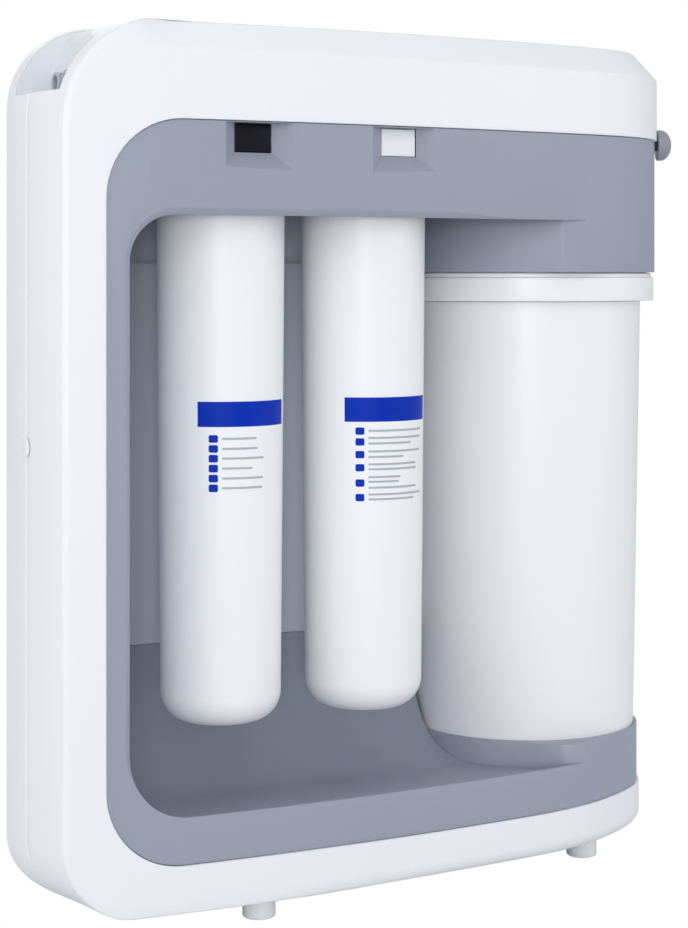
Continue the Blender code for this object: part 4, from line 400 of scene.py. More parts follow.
def edge_setback(x, z, inset):
    """How far the top chamfer and the rounded bottom edge set the surface back."""
    slope = CHAMFER_WIDTH / CHAMFER_HEIGHT
    chamfer = slope * (z - HEIGHT + CHAMFER_HEIGHT) + inset * (math.hypot(1, slope) - 1)
    upper = smooth_step((x - CHAMFER_START) / CHAMFER_FADE)
    radius, rise = BOTTOM_EDGE - inset, FOOT_HEIGHT + BOTTOM_EDGE - z
    rounding = 0
    if radius > 0 and rise > 0:
        rounding = radius - math.sqrt(max(radius ** 2 - rise ** 2, 0))
    growth = smooth_step((x - BOTTOM_EDGE_START) / BOTTOM_EDGE_FADE)
    lower = BOTTOM_EDGE_LEAST + (1 - BOTTOM_EDGE_LEAST) * growth
    return max(chamfer, 0) * upper + rounding * lower


def casing_ring(z, inset):
    end_radius = BASE_END_RADIUS if z < (BASE_LEVEL + HOOD_LEVEL) / 2 else END_RADIUS
    ring = []
    for point, normal in plan_outline(inset, end_radius):
        push, pivot = left_squeeze(z, inset, point.y - FRONT)
        share = 1 - push / (pivot - LEFT - inset)
        if point.x < pivot and point.y < TANK_Y:
            # The front keeps its own curve round the corner, and its crease follows it
            x = pivot - (pivot - point.x) * share
            surface = front_face_y(x, inset) + edge_setback(x, z, inset)
            change = surface - front_face_y(point.x, inset)
            y = max(point.y + change * max(-normal.y, 0), surface)
        else:
            x, y = point - normal * edge_setback(point.x, z, inset)
            if x < pivot:
                x = pivot - (pivot - x) * share
        ring.append((x, y, z))
    return ring


def casing_levels(inset, low, high):
    top_centre, edge_centre = HEIGHT - TOP_CORNER, FOOT_HEIGHT + BOTTOM_EDGE
    slope = CHAMFER_WIDTH / CHAMFER_HEIGHT
    chamfer_start = HEIGHT - CHAMFER_HEIGHT - inset * (math.hypot(1, slope) - 1) / slope
    levels = [low, high, BASE_LEVEL, HOOD_LEVEL, HEIGHT - REAR_TOP_CORNER, chamfer_start]
    for turn in quarter(CORNER_STEPS)[:-1]:
        levels.append(top_centre + (TOP_CORNER - inset) * math.sin(turn))
        for corner in (BOTTOM_CORNER, REAR_CORNER):
            levels.append(FOOT_HEIGHT + corner - (corner - inset) * math.sin(turn))
    if inset < BOTTOM_EDGE:
        for turn in quarter(EDGE_STEPS)[:-1]:
            levels.append(edge_centre - (BOTTOM_EDGE - inset) * math.sin(turn))
    inside = sorted(z for z in levels if low <= z <= high)
    kept = [inside[0]]
    for z in inside[1:]:
        if z - kept[-1] > GAP:
            kept.append(z)
    kept[-1] = high
    return kept


def casing_solid(name, inset, low=None, high=None):
    if low is None:
        low, high = FOOT_HEIGHT + inset, HEIGHT - inset
    return loft(name, [casing_ring(z, inset) for z in casing_levels(inset, low, high)])


def rounded_left_outline(left, low, high, low_radius, high_radius):
    points = [(RIGHT + OVERCUT, low)]
    for turn in quarter(CORNER_STEPS):
        points.append((left + low_radius * (1 - math.sin(turn)),
                       low + low_radius * (1 - math.cos(turn))))
    for turn in quarter(CORNER_STEPS):
        points.append((left + high_radius * (1 - math.cos(turn)),
                       high - high_radius * (1 - math.sin(turn))))
    return points + [(RIGHT + OVERCUT, high)]


def opening_cutter(name, grow, rear):
    left = REAR_OPENING_LEFT if rear else FRONT_OPENING_LEFT
    radius = OPENING_CORNER + grow
    outline = rounded_left_outline(
        left - grow, OPENING_LOW - grow, OPENING_HIGH + grow, radius, radius)
    start, end = (SEAM, BACK + OVERCUT) if rear else (FRONT - OVERCUT, SEAM + OVERCUT)
    return prism(name, outline, "Y", start, end)


def both_openings(grow):
    return join(opening_cutter("front_limit", grow, False), opening_cutter("rear_limit", grow, True))


def window_outline(rear):
    left = (REAR_OPENING_LEFT if rear else FRONT_OPENING_LEFT) + WINDOW_MARGIN
    return rounded_left_outline(
        left, WINDOW_LOW, WINDOW_HIGH, WINDOW_LOW_CORNER, WINDOW_HIGH_CORNER)


def window_cutter(name, rear):
    start, end = (PARTITION_Y, BACK + OVERCUT) if rear else (FRONT - OVERCUT, PARTITION_Y + OVERCUT)
    return prism(name, window_outline(rear), "Y", start, end)


def pocket_outline(grow):
    wall, top = POCKET_WALL_X + grow, POCKET_TOP_X + grow
    points = [(LEFT - OVERCUT, POCKET_LEDGE - grow), (wall, POCKET_LEDGE - grow)]
    for turn in quarter(CORNER_STEPS - 1):
        points.append((
            wall + (top - wall) * (1 - math.cos(turn)),
            POCKET_BEND + (HEIGHT - POCKET_BEND) * math.sin(turn),
        ))
    points += [(top, HEIGHT + OVERCUT), (LEFT - OVERCUT, HEIGHT + OVERCUT)]
    return points


def pocket_cutter():
    return prism("pocket", pocket_outline(0), "Y", POCKET_FRONT, POCKET_BACK)


def pocket_lining(name, inset, grow):
    """The space of the connection panel, with its pocket still filled."""
    lining = casing_solid(name, inset, POCKET_LEDGE - POCKET_SHEET - grow, HEIGHT - inset)
    thick = POCKET_SHEET + grow
    return keep_common(lining, prism(
        "lining_limit", pocket_outline(thick), "Y", POCKET_FRONT - thick, POCKET_BACK + thick))


# Procedural materials

def plastic(name, colour, roughness, grain=0.0, tint=0.02, shine=0.5):
    """A moulded plastic with slow colour drift, a fine surface grain and uneven gloss."""
    made = bpy.data.materials.new(name)
    made.use_nodes = True
    nodes, links = made.node_tree.nodes, made.node_tree.links
    shader = nodes["Principled BSDF"]
    place = nodes.new("ShaderNodeTexCoord")

    def noise(scale, detail):
        node = nodes.new("ShaderNodeTexNoise")
        node.inputs["Scale"].default_value = scale
        node.inputs["Detail"].default_value = detail
        links.new(place.outputs["Object"], node.inputs["Vector"])
        return node

    drift = noise(9.0, 2.0)
    ramp = nodes.new("ShaderNodeValToRGB")
    ramp.color_ramp.elements[0].position = 0.3
    ramp.color_ramp.elements[1].position = 0.7
    ramp.color_ramp.elements[0].color = [c * (1 - tint) for c in colour] + [1]
    ramp.color_ramp.elements[1].color = [min(c * (1 + tint), 1) for c in colour] + [1]
    links.new(drift.outputs["Fac"], ramp.inputs["Fac"])
    links.new(ramp.outputs["Color"], shader.inputs["Base Color"])
    gloss = noise(60.0, 4.0)
    spread = nodes.new("ShaderNodeMapRange")
    spread.inputs["To Min"].default_value = roughness * 0.88
    spread.inputs["To Max"].default_value = roughness * 1.12
    links.new(gloss.outputs["Fac"], spread.inputs["Value"])
    links.new(spread.outputs["Result"], shader.inputs["Roughness"])
    if grain:
        fine = noise(900.0, 3.0)
        bump = nodes.new("ShaderNodeBump")
        bump.inputs["Strength"].default_value = grain
        bump.inputs["Distance"].default_value = 0.0002
        links.new(fine.outputs["Fac"], bump.inputs["Height"])
        links.new(bump.outputs["Normal"], shader.inputs["Normal"])
    shader.inputs["Specular IOR Level"].default_value = shine
    shader.inputs["IOR"].default_value = 1.5
    return made


def metal(name, colour, roughness):
    made = plastic(name, colour, roughness, grain=0.05)
    made.node_tree.nodes["Principled BSDF"].inputs["Metallic"].default_value = 1.0
    return made


WHITE = plastic("casing_white", (0.86, 0.87, 0.89), 0.36, grain=0.03, tint=0.006)
PANEL = plastic("panel_white", (0.76, 0.78, 0.81), 0.42, grain=0.03, tint=0.006)
CARTRIDGE = plastic("cartridge_white", (0.88, 0.89, 0.905), 0.40, grain=0.04, tint=0.006)
TANK = plastic("tank_white", (0.88, 0.885, 0.90), 0.34, grain=0.02, tint=0.006)
GREY = plastic("frame_grey", (0.310, 0.338, 0.410), 0.46, grain=0.06, tint=0.012)
# The bay liner's grey is much lighter than the frame's grey plastic: painted light that lifts the
# shaded back of the bay.
LINER_PAINTED_LIGHT = plastic("liner_grey_painted_light", (0.56, 0.60, 0.68), 0.50, grain=0.06, tint=0.012)
DARK = plastic("inner_black", (0.045, 0.045, 0.050), 0.50, grain=0.1)
BLACK = plastic("button_black", (0.004, 0.004, 0.007), 0.36, grain=0.02, shine=0.2)
KNOB = plastic("knob_grey", (0.27, 0.29, 0.33), 0.42, grain=0.05)
LABEL_BLUE = plastic("label_blue", (0.001, 0.030, 0.42), 0.45, grain=0.02, shine=0.1)
LABEL_GREY = plastic("label_grey", (0.42, 0.44, 0.50), 0.45, grain=0.02)
COLLET = plastic("collet_grey", (0.42, 0.44, 0.48), 0.40, grain=0.02)
TUBE = plastic("tube_clear", (0.70, 0.78, 0.88), 0.32, grain=0.02)
FOOT = plastic("foot_white", (0.78, 0.79, 0.80), 0.62, grain=0.2)
RUBBER = plastic("seal_black", (0.02, 0.02, 0.02), 0.70, grain=0.2)
BAG = plastic("bag_butyl", (0.50, 0.32, 0.20), 0.65, grain=0.3)
CARBON = plastic("carbon_block", (0.03, 0.03, 0.03), 0.92, grain=0.5)
WRAP = plastic("membrane_wrap", (0.80, 0.82, 0.78), 0.55, grain=0.15)
STEEL = metal("bright_steel", (0.60, 0.60, 0.62), 0.30)

SLOT_MATERIALS = {
    "white_plastic": WHITE, "grey_plastic": GREY, "dark_plastic": DARK, "black_plastic": BLACK,
    "tube_plastic": TUBE, "collet_grey": COLLET, "tank_white": TANK, "cartridge_white": CARTRIDGE,
    "bag_rubber": BAG, "seal_rubber": RUBBER, "foot_rubber": FOOT, "spring_steel": STEEL,
    "carbon_block": CARBON, "membrane_wrap": WRAP,
}


def paint_carried_nodes():
    slots = {s["node"]: s["material_slot"] for s in frame["record"]["subparts"]}
    for name, item in frame["nodes"].items():
        item.data.materials.clear()
        item.data.materials.append(SLOT_MATERIALS[slots[name]])


def dress(item, body, slot, nodes=(), material=None, angle=35):
    """Smooths a piece, gives it a material (the slot's own unless one is given), and joins it to its
    body.
    """
    item.data.shade_smooth()
    item.data.set_sharp_from_angle(angle=math.radians(angle))
    item.data.materials.clear()
    item.data.materials.append(material or SLOT_MATERIALS[slot])
    if nodes:
        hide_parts(*nodes)
    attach(item, body)
    return item


# Casing

def knob_hole():
    return along_end_radius(cylinder("knob_hole", STEM_HOLE, *STEM_HOLE_ENDS, 24), KNOB_HEIGHT)


def make_shells():
    whole = cut(casing_solid("front_shell_skin", 0), casing_solid("hollow", SHELL_WALL))
    cut(whole, knob_hole())
    rear = whole.copy()
    rear.data = whole.data.copy()
    bpy.context.scene.collection.objects.link(rear)
    rear.name = "rear_shell_skin"
    sides = (LEFT - OVERCUT, RIGHT + OVERCUT)
    keep_common(whole, box("half", sides, (FRONT - OVERCUT, SEAM - GAP / 2), (0, HEIGHT + OVERCUT)))
    cut(whole, opening_cutter("opening", 0, False))
    keep_common(rear, box("half", sides, (SEAM + GAP / 2, BACK + OVERCUT), (0, HEIGHT + OVERCUT)))
    cut(rear, opening_cutter("opening", 0, True))
    seat, rim, bore = 0.006, 0.0125, 0.0019
    for x in SCREW_SIDES.values():
        for z in SCREW_LEVELS.values():
            hole = cylinder("hole", SCREW_HOLE, -OVERCUT, OVERCUT, 32)
            cut(rear, along_y(hole, x, back_face_y(x), z))
            boss = lathe("boss", [
                (bore, 0), (BOSS_RADIUS, 0), (BOSS_RADIUS, rim), (SCREW_HEAD + GAP, rim),
                (SCREW_HEAD + GAP, seat), (bore, seat)], 32, ring=True)
            join(rear, along_y(boss, x, back_face_y(x) - BOSS_DEPTH, z))
    for shell, node in ((whole, "front_shell"), (rear, "rear_shell")):
        round_edges(shell, SHELL_ROUNDING)
        # The panel sits in a step of the shells, behind a thin edge
        cut(shell, pocket_lining("step", PANEL_INSET - GAP / 3, GAP))
        cut(shell, pocket_cutter())
        dress(shell, "casing", "white_plastic", [node])


def make_panel():
    panel = pocket_lining("connection_panel_skin", PANEL_INSET, 0)
    cut(panel, pocket_cutter())
    for depth in PORTS.values():
        hole = cylinder("hole", PORT_HOLE, -OVERCUT, POCKET_SHEET + OVERCUT, 48)
        cut(panel, along_x(hole, POCKET_WALL_X, FRONT + depth, PORT_HEIGHT))
    dress(panel, "casing", "white_plastic", ["connection_panel"], PANEL)
    front, under, soft = COLLET_FRONT, COLLET_FRONT + 0.0016, COLLET_ROUNDING
    for name, depth in PORTS.items():
        profile = [
            (COLLET_BORE, front + soft), (COLLET_BORE + GAP, front), (COLLET_FLANGE - soft, front),
            (COLLET_FLANGE, front + soft), (COLLET_FLANGE, under - soft), (COLLET_FLANGE - soft, under),
            (COLLET_RADIUS, under), (COLLET_RADIUS, COLLET_BACK), (COLLET_BORE, COLLET_BACK)]
        collet = along_x(lathe(f"{name}_collet_ring", profile, 48, ring=True),
                         POCKET_WALL_X, FRONT + depth, PORT_HEIGHT)
        dress(collet, f"{name}_release", "collet_grey", [f"{name}_collet"])


def outer_depth(way, depth):
    return FRONT + depth if way < 0 else BACK - depth


def span(first, second):
    return (min(first, second), max(first, second))


def button_funnel(x, way):
    mouth, throat = outer_depth(way, -OVERCUT), outer_depth(way, BUTTON_FACE)
    reach = BUTTON_FACE / (BUTTON_FACE - FRAME_RECESS)
    stretch = (1 + OVERCUT / BUTTON_FACE) * reach
    rings = []
    for y, grow, fall in (
            (mouth, FUNNEL_GROWTH * stretch, FUNNEL_FALL * stretch), (throat, GAP, GAP)):
        half, low, high = BUTTON_WIDTH / 2 + grow, BUTTON_LOW - fall, FUNNEL_HIGH
        rings.append([
            (x - half, y, low), (x + half, y, low), (x + half, y, high), (x - half, y, high)])
    return loft("funnel", rings)


def seat_outline(plan_radius, start_x, fillet):
    """Plan of a seat for the tank: round behind, flush with the casing from start_x on.

    The two are joined at the front by a straight line and a fillet.
    """
    outline = plan_outline(FRAME_RECESS, plan_radius)
    centre, reach = Vector((TANK_X, TANK_Y)), plan_radius - FRAME_RECESS
    round_end = [i for i, (point, _) in enumerate(outline)
                 if abs((point - centre).length - reach) < 0.000001]
    front = [i for i in range(round_end[0]) if outline[i][0].x > start_x]
    start, normal = outline[front[0]]
    shared = [point for point, _ in outline[front[0]:round_end[-1] + 1]]
    corner = start - normal * fillet
    reach_out = corner - centre
    bearing = math.atan2(reach_out.y, reach_out.x)
    bearing -= math.acos((reach - fillet) / reach_out.length)
    last = shared[-1] - centre
    begin = math.atan2(last.y, last.x)
    turn = (bearing - begin) % (2 * math.pi)
    points = [tuple(point) for point in shared]
    for k in range(1, 97):
        angle = begin + turn * k / 96
        points.append((TANK_X + reach * math.cos(angle), TANK_Y + reach * math.sin(angle)))
    sweep = (math.atan2(normal.y, normal.x) - bearing) % (2 * math.pi)
    for k in range(16):
        angle = bearing + sweep * k / 16
        points.append((corner.x + fillet * math.cos(angle), corner.y + fillet * math.sin(angle)))
    return points


def tank_bore(radius, low, high):
    return shifted(cylinder("tank_bore", radius, low, high, 160), TANK_X, TANK_Y)


def window_bevel_cutter():
    """Takes the slanted edge off the front window, along its left side, corners and top."""
    wide, deep, out, within, sliver = 0.0030, 0.0022, 0.0020, 0.004, 0.00002
    end_x, fade_length, station_pitch = TANK_X - 0.036, 0.06, 0.005
    path = window_outline(False)[CORNER_STEPS // 2:]
    dense = []
    for (x, z), (next_x, next_z) in zip(path, path[1:]):
        steps = max(1, int(math.hypot(next_x - x, next_z - z) / station_pitch))
        dense += [(x + (next_x - x) * k / steps, z + (next_z - z) * k / steps) for k in range(steps)]
    dense = [(x, z) for x, z in dense if x < end_x]
    stations = []
    for i, (x, z) in enumerate(dense):
        before, after = dense[max(i - 1, 0)], dense[min(i + 1, len(dense) - 1)]
        along = Vector((after[0] - before[0], after[1] - before[1])).normalized()
        outward = Vector((-along.y, along.x))
        fade = smooth_step(i / 10) * smooth_step((end_x - x) / fade_length)
        surface = front_face_y(x, FRAME_RECESS)
        depth, width = deep * fade + sliver, wide * fade + sliver
        corners = (
            (width * (1 + out / deep), -out), (-0.0002 * width / wide, depth * 1.07),
            (-within, depth * 1.07), (-within, -out))
        stations.append([
            (x + outward.x * side, surface + back, z + outward.y * side) for side, back in corners])
    return loft("window_bevel", stations)


def make_frame():
    low, high = OPENING_LOW - FRAME_LAP, OPENING_HIGH + FRAME_LAP
    lap = SHELL_WALL + GAP
    item = casing_solid("inner_frame_skin", lap, low, high)
    raised = casing_solid("raised", FRAME_RECESS, low, high)
    keep_common(raised, both_openings(-GAP))
    join(item, raised)
    cut(item, casing_solid("core", FRAME_INNER, low - GAP, high + GAP))
    keep_common(item, both_openings(FRAME_LAP - GAP))
    cut(item, window_cutter("window", False))
    cut(item, window_cutter("window", True))
    cut(item, window_bevel_cutter())
    collar = seat_outline(END_RADIUS, COLLAR_START, COLLAR_FILLET)
    join(item, prism("collar", collar, "Z", COLLAR_LOW, WINDOW_HIGH + COLLAR_LAP))
    cut(item, tank_bore(COLLAR_BORE, COLLAR_BORE_LOW, COLLAR_HIGH))
    cup = seat_outline(BASE_END_RADIUS, CUP_START, CUP_FILLET)
    join(item, prism("cup", cup, "Z", CUP_LOW, CUP_RIM))
    cut(item, tank_bore(CUP_BORE, CUP_FLOOR + CUP_SHEET, CUP_HIGH))
    cut(item, tank_bore(CUP_HOLE, 0, CUP_FLOOR))
    round_edges(item, FRAME_ROUNDING)
    for x, _, way in CARTRIDGES.values():
        block = box("block", (x - BLOCK_HALF, x + BLOCK_HALF),
                    span(outer_depth(way, 0), outer_depth(way, BLOCK_DEPTH)),
                    (BLOCK_LOW, BLOCK_HIGH))
        keep_common(block, casing_solid("block_limit", lap, low, high))
        join(item, block)
        cut(item, button_funnel(x, way))
        half = BUTTON_WIDTH / 2 + GAP
        hole = box("hole", (x - half, x + half),
                   span(outer_depth(way, BUTTON_FACE - GAP), outer_depth(way, BUTTON_ROOM_DEPTH)),
                   (BUTTON_LOW - GAP, FUNNEL_HIGH))
        cut(item, hole)
    cut(item, knob_hole())
    dress(item, "casing", "grey_plastic", ["inner_frame"])


def make_floor():
    bottom = TRAY_TOP - TRAY_SHEET
    wall_front = PARTITION_Y - GAP
    wall_back = wall_front + TRAY_SHEET
    curve = []
    for turn in quarter(32):
        curve.append((
            SCOOP_START + (wall_front - SCOOP_START) * math.sin(turn),
            TRAY_TOP + (SCOOP_HIGH - TRAY_TOP) * (1 - math.cos(turn)), turn))
    outline = [(FRONT - OVERCUT, TRAY_TOP)] + [(y, z) for y, z, _ in curve]
    outline += [(wall_back, SCOOP_HIGH), (wall_back, TRAY_TOP), (BACK + OVERCUT, TRAY_TOP)]
    outline += [(BACK + OVERCUT, bottom), (wall_front, bottom)]
    for y, z, turn in reversed(curve):
        under_y, under_z = y + TRAY_SHEET * math.sin(turn), z - TRAY_SHEET * math.cos(turn)
        if under_y < wall_front - TRAY_SHEET:
            outline.append((under_y, under_z))
    outline.append((FRONT - OVERCUT, bottom))
    tray = prism("floor_tray_skin", outline, "X", FRONT_OPENING_LEFT + WINDOW_MARGIN, TANK_X)
    keep_common(tray, casing_solid("limit", FRAME_INNER + GAP, OPENING_LOW, SCOOP_HIGH + OVERCUT))
    cut(tray, tank_bore(TRAY_ROOM, 0, SCOOP_HIGH + 2 * OVERCUT))
    dress(tray, "casing", "grey_plastic", ["floor_tray"])


def make_bay_liner():
    wall_x = FRONT_OPENING_LEFT + WINDOW_MARGIN - GAP
    rear_x = REAR_OPENING_LEFT + WINDOW_MARGIN - GAP
    face, deck, high = PARTITION_Y, DECK_LOW - GAP, PARTITION_HIGH
    liner = box("bay_liner_skin", (wall_x - SHEET, wall_x), (FRONT, face + SHEET),
                (OPENING_LOW, BAY_WALL_HIGH))
    setback = face + PARTITION_SETBACK
    outline = [
        (face, SCOOP_HIGH + GAP), (face + SHEET, SCOOP_HIGH + GAP), (face + SHEET, high - SHEET),
        (setback + SHEET, high - SHEET), (setback + SHEET, deck), (setback, deck), (setback, high),
        (face, high),
    ]
    join(liner, prism("partition", outline, "X", wall_x - SHEET, PARTITION_END))
    behind, above = REAR_WALL_START, SCOOP_HIGH + GAP
    outline = [
        (face + SHEET / 2, above), (behind, above), (behind, TRAY_TOP + GAP),
        (BACK, TRAY_TOP + GAP), (BACK, BAY_WALL_HIGH), (face + SHEET / 2, BAY_WALL_HIGH),
    ]
    join(liner, prism("rear_wall", outline, "X", rear_x - SHEET, rear_x))
    for i in range(RIBS):
        x = RIB_FIRST + RIB_PITCH * i
        join(liner, box("rib", (x - RIB_HALF, x + RIB_HALF),
                        (face - RIB_PROUD, face + SHEET / 2), (above, RIB_HIGH)))
    keep_common(liner, casing_solid("limit", FRAME_INNER + GAP, OPENING_LOW, deck))
    # The liner takes the lighter grey, which is painted light on the shaded walls of the bay.
    dress(liner, "casing", "grey_plastic", ["bay_liner"], LINER_PAINTED_LIGHT)


# Cartridges, buttons and tank

def cartridge_radius(z):
    share = (z - CARTRIDGE_LOW) / (CARTRIDGE_JOINT - CARTRIDGE_LOW)
    return CARTRIDGE_LOW_RADIUS + CARTRIDGE_WIDENS * share


def make_cartridge(name, x, y):
    low, wall = CARTRIDGE_LOW, CARTRIDGE_WALL
    dome_high = low + DOME_FLAT + DOME_RISE
    side = cartridge_radius(dome_high)
    profile = [(0, low)]
    for turn in quarter(16):
        profile.append((side - DOME_RADIUS + DOME_RADIUS * math.sin(turn),
                        low + DOME_FLAT + DOME_RISE * (1 - math.cos(turn))))
    profile += [
        (CARTRIDGE_RADIUS, CARTRIDGE_JOINT), (CARTRIDGE_RADIUS - wall, CARTRIDGE_JOINT),
        (side - wall, dome_high), (DOME_FLOOR, low + wall), (0, low + wall)]
    body = shifted(lathe(f"{name}_bottle", profile, 128), x, y)
    dress(body, f"{name}_cartridge", "cartridge_white", [f"{name}_housing"])


def rounded_box(name, x, y, z, radius):
    item = box(name, x, y, z)
    bevel = item.modifiers.new("round", "BEVEL")
    bevel.width = radius
    bevel.segments = 4
    bevel.limit_method = "NONE"
    return apply_modifiers(item)


def make_button(name, x, way, slot):
    half, overlap = BUTTON_WIDTH / 2, 0.0001
    plate_front = BUTTON_BACK - 0.0015
    item = rounded_box(
        f"{name}_button_cap", (x - half, x + half),
        span(outer_depth(way, BUTTON_FACE), outer_depth(way, plate_front + overlap)),
        (BUTTON_LOW, BUTTON_HIGH), BUTTON_ROUNDING)
    margin = half + BUTTON_LIP
    plate = box("plate", (x - margin, x + margin),
                span(outer_depth(way, plate_front), outer_depth(way, BUTTON_BACK)),
                (BUTTON_LOW - BUTTON_LIP, BUTTON_HIGH + BUTTON_LIP))
    join(item, plate)
    start, end = span(outer_depth(way, BUTTON_BACK - overlap), outer_depth(way, PUSHER_END))
    pusher = cylinder("pusher", PUSHER_RADIUS, 0, end - start, 32)
    join(item, along_y(pusher, x, start, CATCH_MIDDLE))
    dress(item, f"{name}_catch_slide", slot, [f"{name}_button"])


def make_spring(name, x):
    """A coil round the button's stem, as long as the CAD spring. It is one fixed mesh; the real spring
    shortens towards the manifold as the button goes in.
    """
    wire, radius, turns, steps = SPRING_WIRE, SPRING_RADIUS, SPRING_TURNS, 24
    low, high = (corner[1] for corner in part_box(f"{name}_spring"))
    rings = []
    for k in range(turns * steps + 1):
        angle = 2 * math.pi * k / steps
        y = low + wire + (high - low - 2 * wire) * k / (turns * steps)
        ring = []
        for side in range(10):
            tilt = 2 * math.pi * side / 10
            reach = radius + wire * math.cos(tilt)
            ring.append((x + reach * math.cos(angle), y + wire * math.sin(tilt),
                         CATCH_MIDDLE + reach * math.sin(angle)))
        rings.append(ring)
    spring = dress(
        loft(f"{name}_spring_coil", rings), "casing", "spring_steel", [f"{name}_spring"], angle=60)
    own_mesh(spring)


def rounded_profile(points, radius):
    """Rounds each corner of a turned profile where its row asks for it."""
    rounded, steps = [], 5
    for i, (r, z, corner) in enumerate(points):
        if not corner:
            rounded.append((r, z))
            continue
        here = Vector((r, z))
        before = Vector(points[i - 1][:2])
        after = Vector(points[(i + 1) % len(points)][:2])
        a = here + (before - here).normalized() * min(radius, (before - here).length * 0.49)
        b = here + (after - here).normalized() * min(radius, (after - here).length * 0.49)
        for k in range(steps + 1):
            t = k / steps
            p = a * (1 - t) ** 2 + here * (2 * t * (1 - t)) + b * t ** 2
            rounded.append((p.x, p.y))
    return rounded


def make_tank():
    low, floor = TANK_LOW, TANK_FLOOR_RADIUS
    profile = [(0, low)]
    for turn in quarter(12):
        profile.append((
            floor + TANK_FOOT * math.sin(turn), low + TANK_FOOT_RISE * (1 - math.cos(turn))))
    profile += [
        (TANK_TOP_RADIUS, TANK_HIGH), (TANK_TOP_RADIUS - TANK_SHEET, TANK_HIGH),
        (floor + TANK_FOOT - TANK_SHEET, low + TANK_FOOT_RISE + TANK_SHEET),
        (floor, low + TANK_SHEET), (0, low + TANK_SHEET)]
    body = shifted(lathe("tank_body_skin", profile, 192), TANK_X, TANK_Y)
    dress(body, "casing", "tank_white", ["tank_body"])
    profile = rounded_profile([
        (SPOUT_BORE, HEAD_LOW, 0), (HEAD_PLUG, HEAD_LOW, 0), (HEAD_PLUG, HEAD_RIM_LOW, 0),
        (HEAD_RIM, HEAD_RIM_LOW, 1), (HEAD_RIM, HEAD_RIM_HIGH, 1), (HEAD_BAND, HEAD_RIM_HIGH, 1),
        (HEAD_BAND, HEAD_BAND_HIGH, 1), (HEAD_CAP, HEAD_BAND_HIGH, 0), (HEAD_CAP, HEAD_HIGH, 0),
        (SPOUT_RADIUS, HEAD_HIGH, 0), (SPOUT_RADIUS, SPOUT_HIGH, 0), (SPOUT_BORE, SPOUT_HIGH, 0),
    ], HEAD_ROUNDING)
    head = shifted(lathe("tank_head_skin", profile, 192, ring=True), TANK_X, TANK_Y)
    dress(head, "casing", "tank_white", ["tank_head"])


def make_cap(name, x, y):
    """The cartridge's shouldered cap with its neck, two grooves and two lugs."""
    neck, rim, joint, tip = NECK_RADIUS, CARTRIDGE_RADIUS, CARTRIDGE_JOINT + GAP, 0.0004
    low, shoulder = 0.3299, [(0.0307, 0.3406), (0.0166, 0.3444), (0.0160, NECK_LOW)]
    profile = [
        (0, low), (SPIGOT_RADIUS, low), (SPIGOT_RADIUS, joint), (rim - GAP, joint),
        (rim, joint + GAP), (rim, CAP_RIM_HIGH), *shoulder, (neck, NECK_LOW)]
    grooves = (SEAL_GROOVE, SEAL_GROOVE_RADIUS), (CATCH_GROOVE, CATCH_GROOVE_RADIUS)
    for (low, high), floor in grooves:
        profile += [(neck, low), (floor, low), (floor, high), (neck, high)]
    profile += [(neck, NECK_HIGH - tip), (neck - tip, NECK_HIGH), (0, NECK_HIGH)]
    cap = lathe(f"{name}_shoulder", profile, 96)
    for middle in (0, math.pi):
        outline = []
        for radius, way in ((SEAL_GROOVE_RADIUS, 1), (LUG_RADIUS, -1)):
            for k in range(9):
                angle = middle + way * math.radians(LUG_HALF_ANGLE) * (k / 4 - 1)
                outline.append((radius * math.cos(angle), radius * math.sin(angle)))
        join(cap, prism("lug", outline, "Z", LUG_LOW, LUG_LOW + LUG_HEIGHT))
    dress(shifted(cap, x, y), f"{name}_cartridge", "cartridge_white", [f"{name}_cap"])


def add_label_patch(vertices, faces, place, bearings, heights, corner=0.0):
    """A thin curved patch on a cartridge, between two bearings from its outer side."""
    x, y, way = place
    start, end = (math.radians(b) for b in bearings)
    low, high = heights
    steps, proud, sunk = max(8, int((end - start) * 60)), 0.0001, -0.0002
    first = len(vertices)
    for k in range(steps + 1):
        angle = start + (end - start) * k / steps
        near = max(min(angle - start, end - angle) * cartridge_radius(low), 0)
        inward = max(corner - near, 0)
        cut_in = corner - math.sqrt(corner ** 2 - inward ** 2)
        for lift in (proud, sunk):
            for z in (low + cut_in, high - cut_in):
                reach = way * (cartridge_radius(z) + lift)
                vertices.append((x - reach * math.sin(angle), y + reach * math.cos(angle), z))
    for k in range(steps):
        a, b = first + 4 * k, first + 4 * k + 4
        faces += [
            (a, b, b + 1, a + 1), (a + 3, b + 3, b + 2, a + 2), (a + 1, b + 1, b + 3, a + 3),
            (a + 2, b + 2, b, a)]
    last = first + 4 * steps
    faces += [(first, first + 1, first + 3, first + 2), (last, last + 2, last + 3, last + 1)]


def make_labels(name, place, squares, bars):
    """The blue band, the small blue squares and the grey bars of a cartridge's label."""
    groups = (
        ("band", LABEL_BLUE, [(LABEL_BAND_BEARINGS, LABEL_BAND, 0)]),
        ("squares", LABEL_BLUE, [
            (SQUARE_BEARINGS, (z - SQUARE_HALF, z + SQUARE_HALF), SQUARE_CORNER) for z in squares]),
        ("bars", LABEL_GREY, [
            ((BAR_START, end), (z - BAR_HALF, z + BAR_HALF), 0) for z, end in bars]),
    )
    for group, material, patches in groups:
        vertices, faces = [], []
        for bearings, heights, corner in patches:
            add_label_patch(vertices, faces, place, bearings, heights, corner)
        label = add_object(f"{name}_label_{group}", vertices, faces)
        dress(label, f"{name}_cartridge", "cartridge_white", material=material, angle=50)


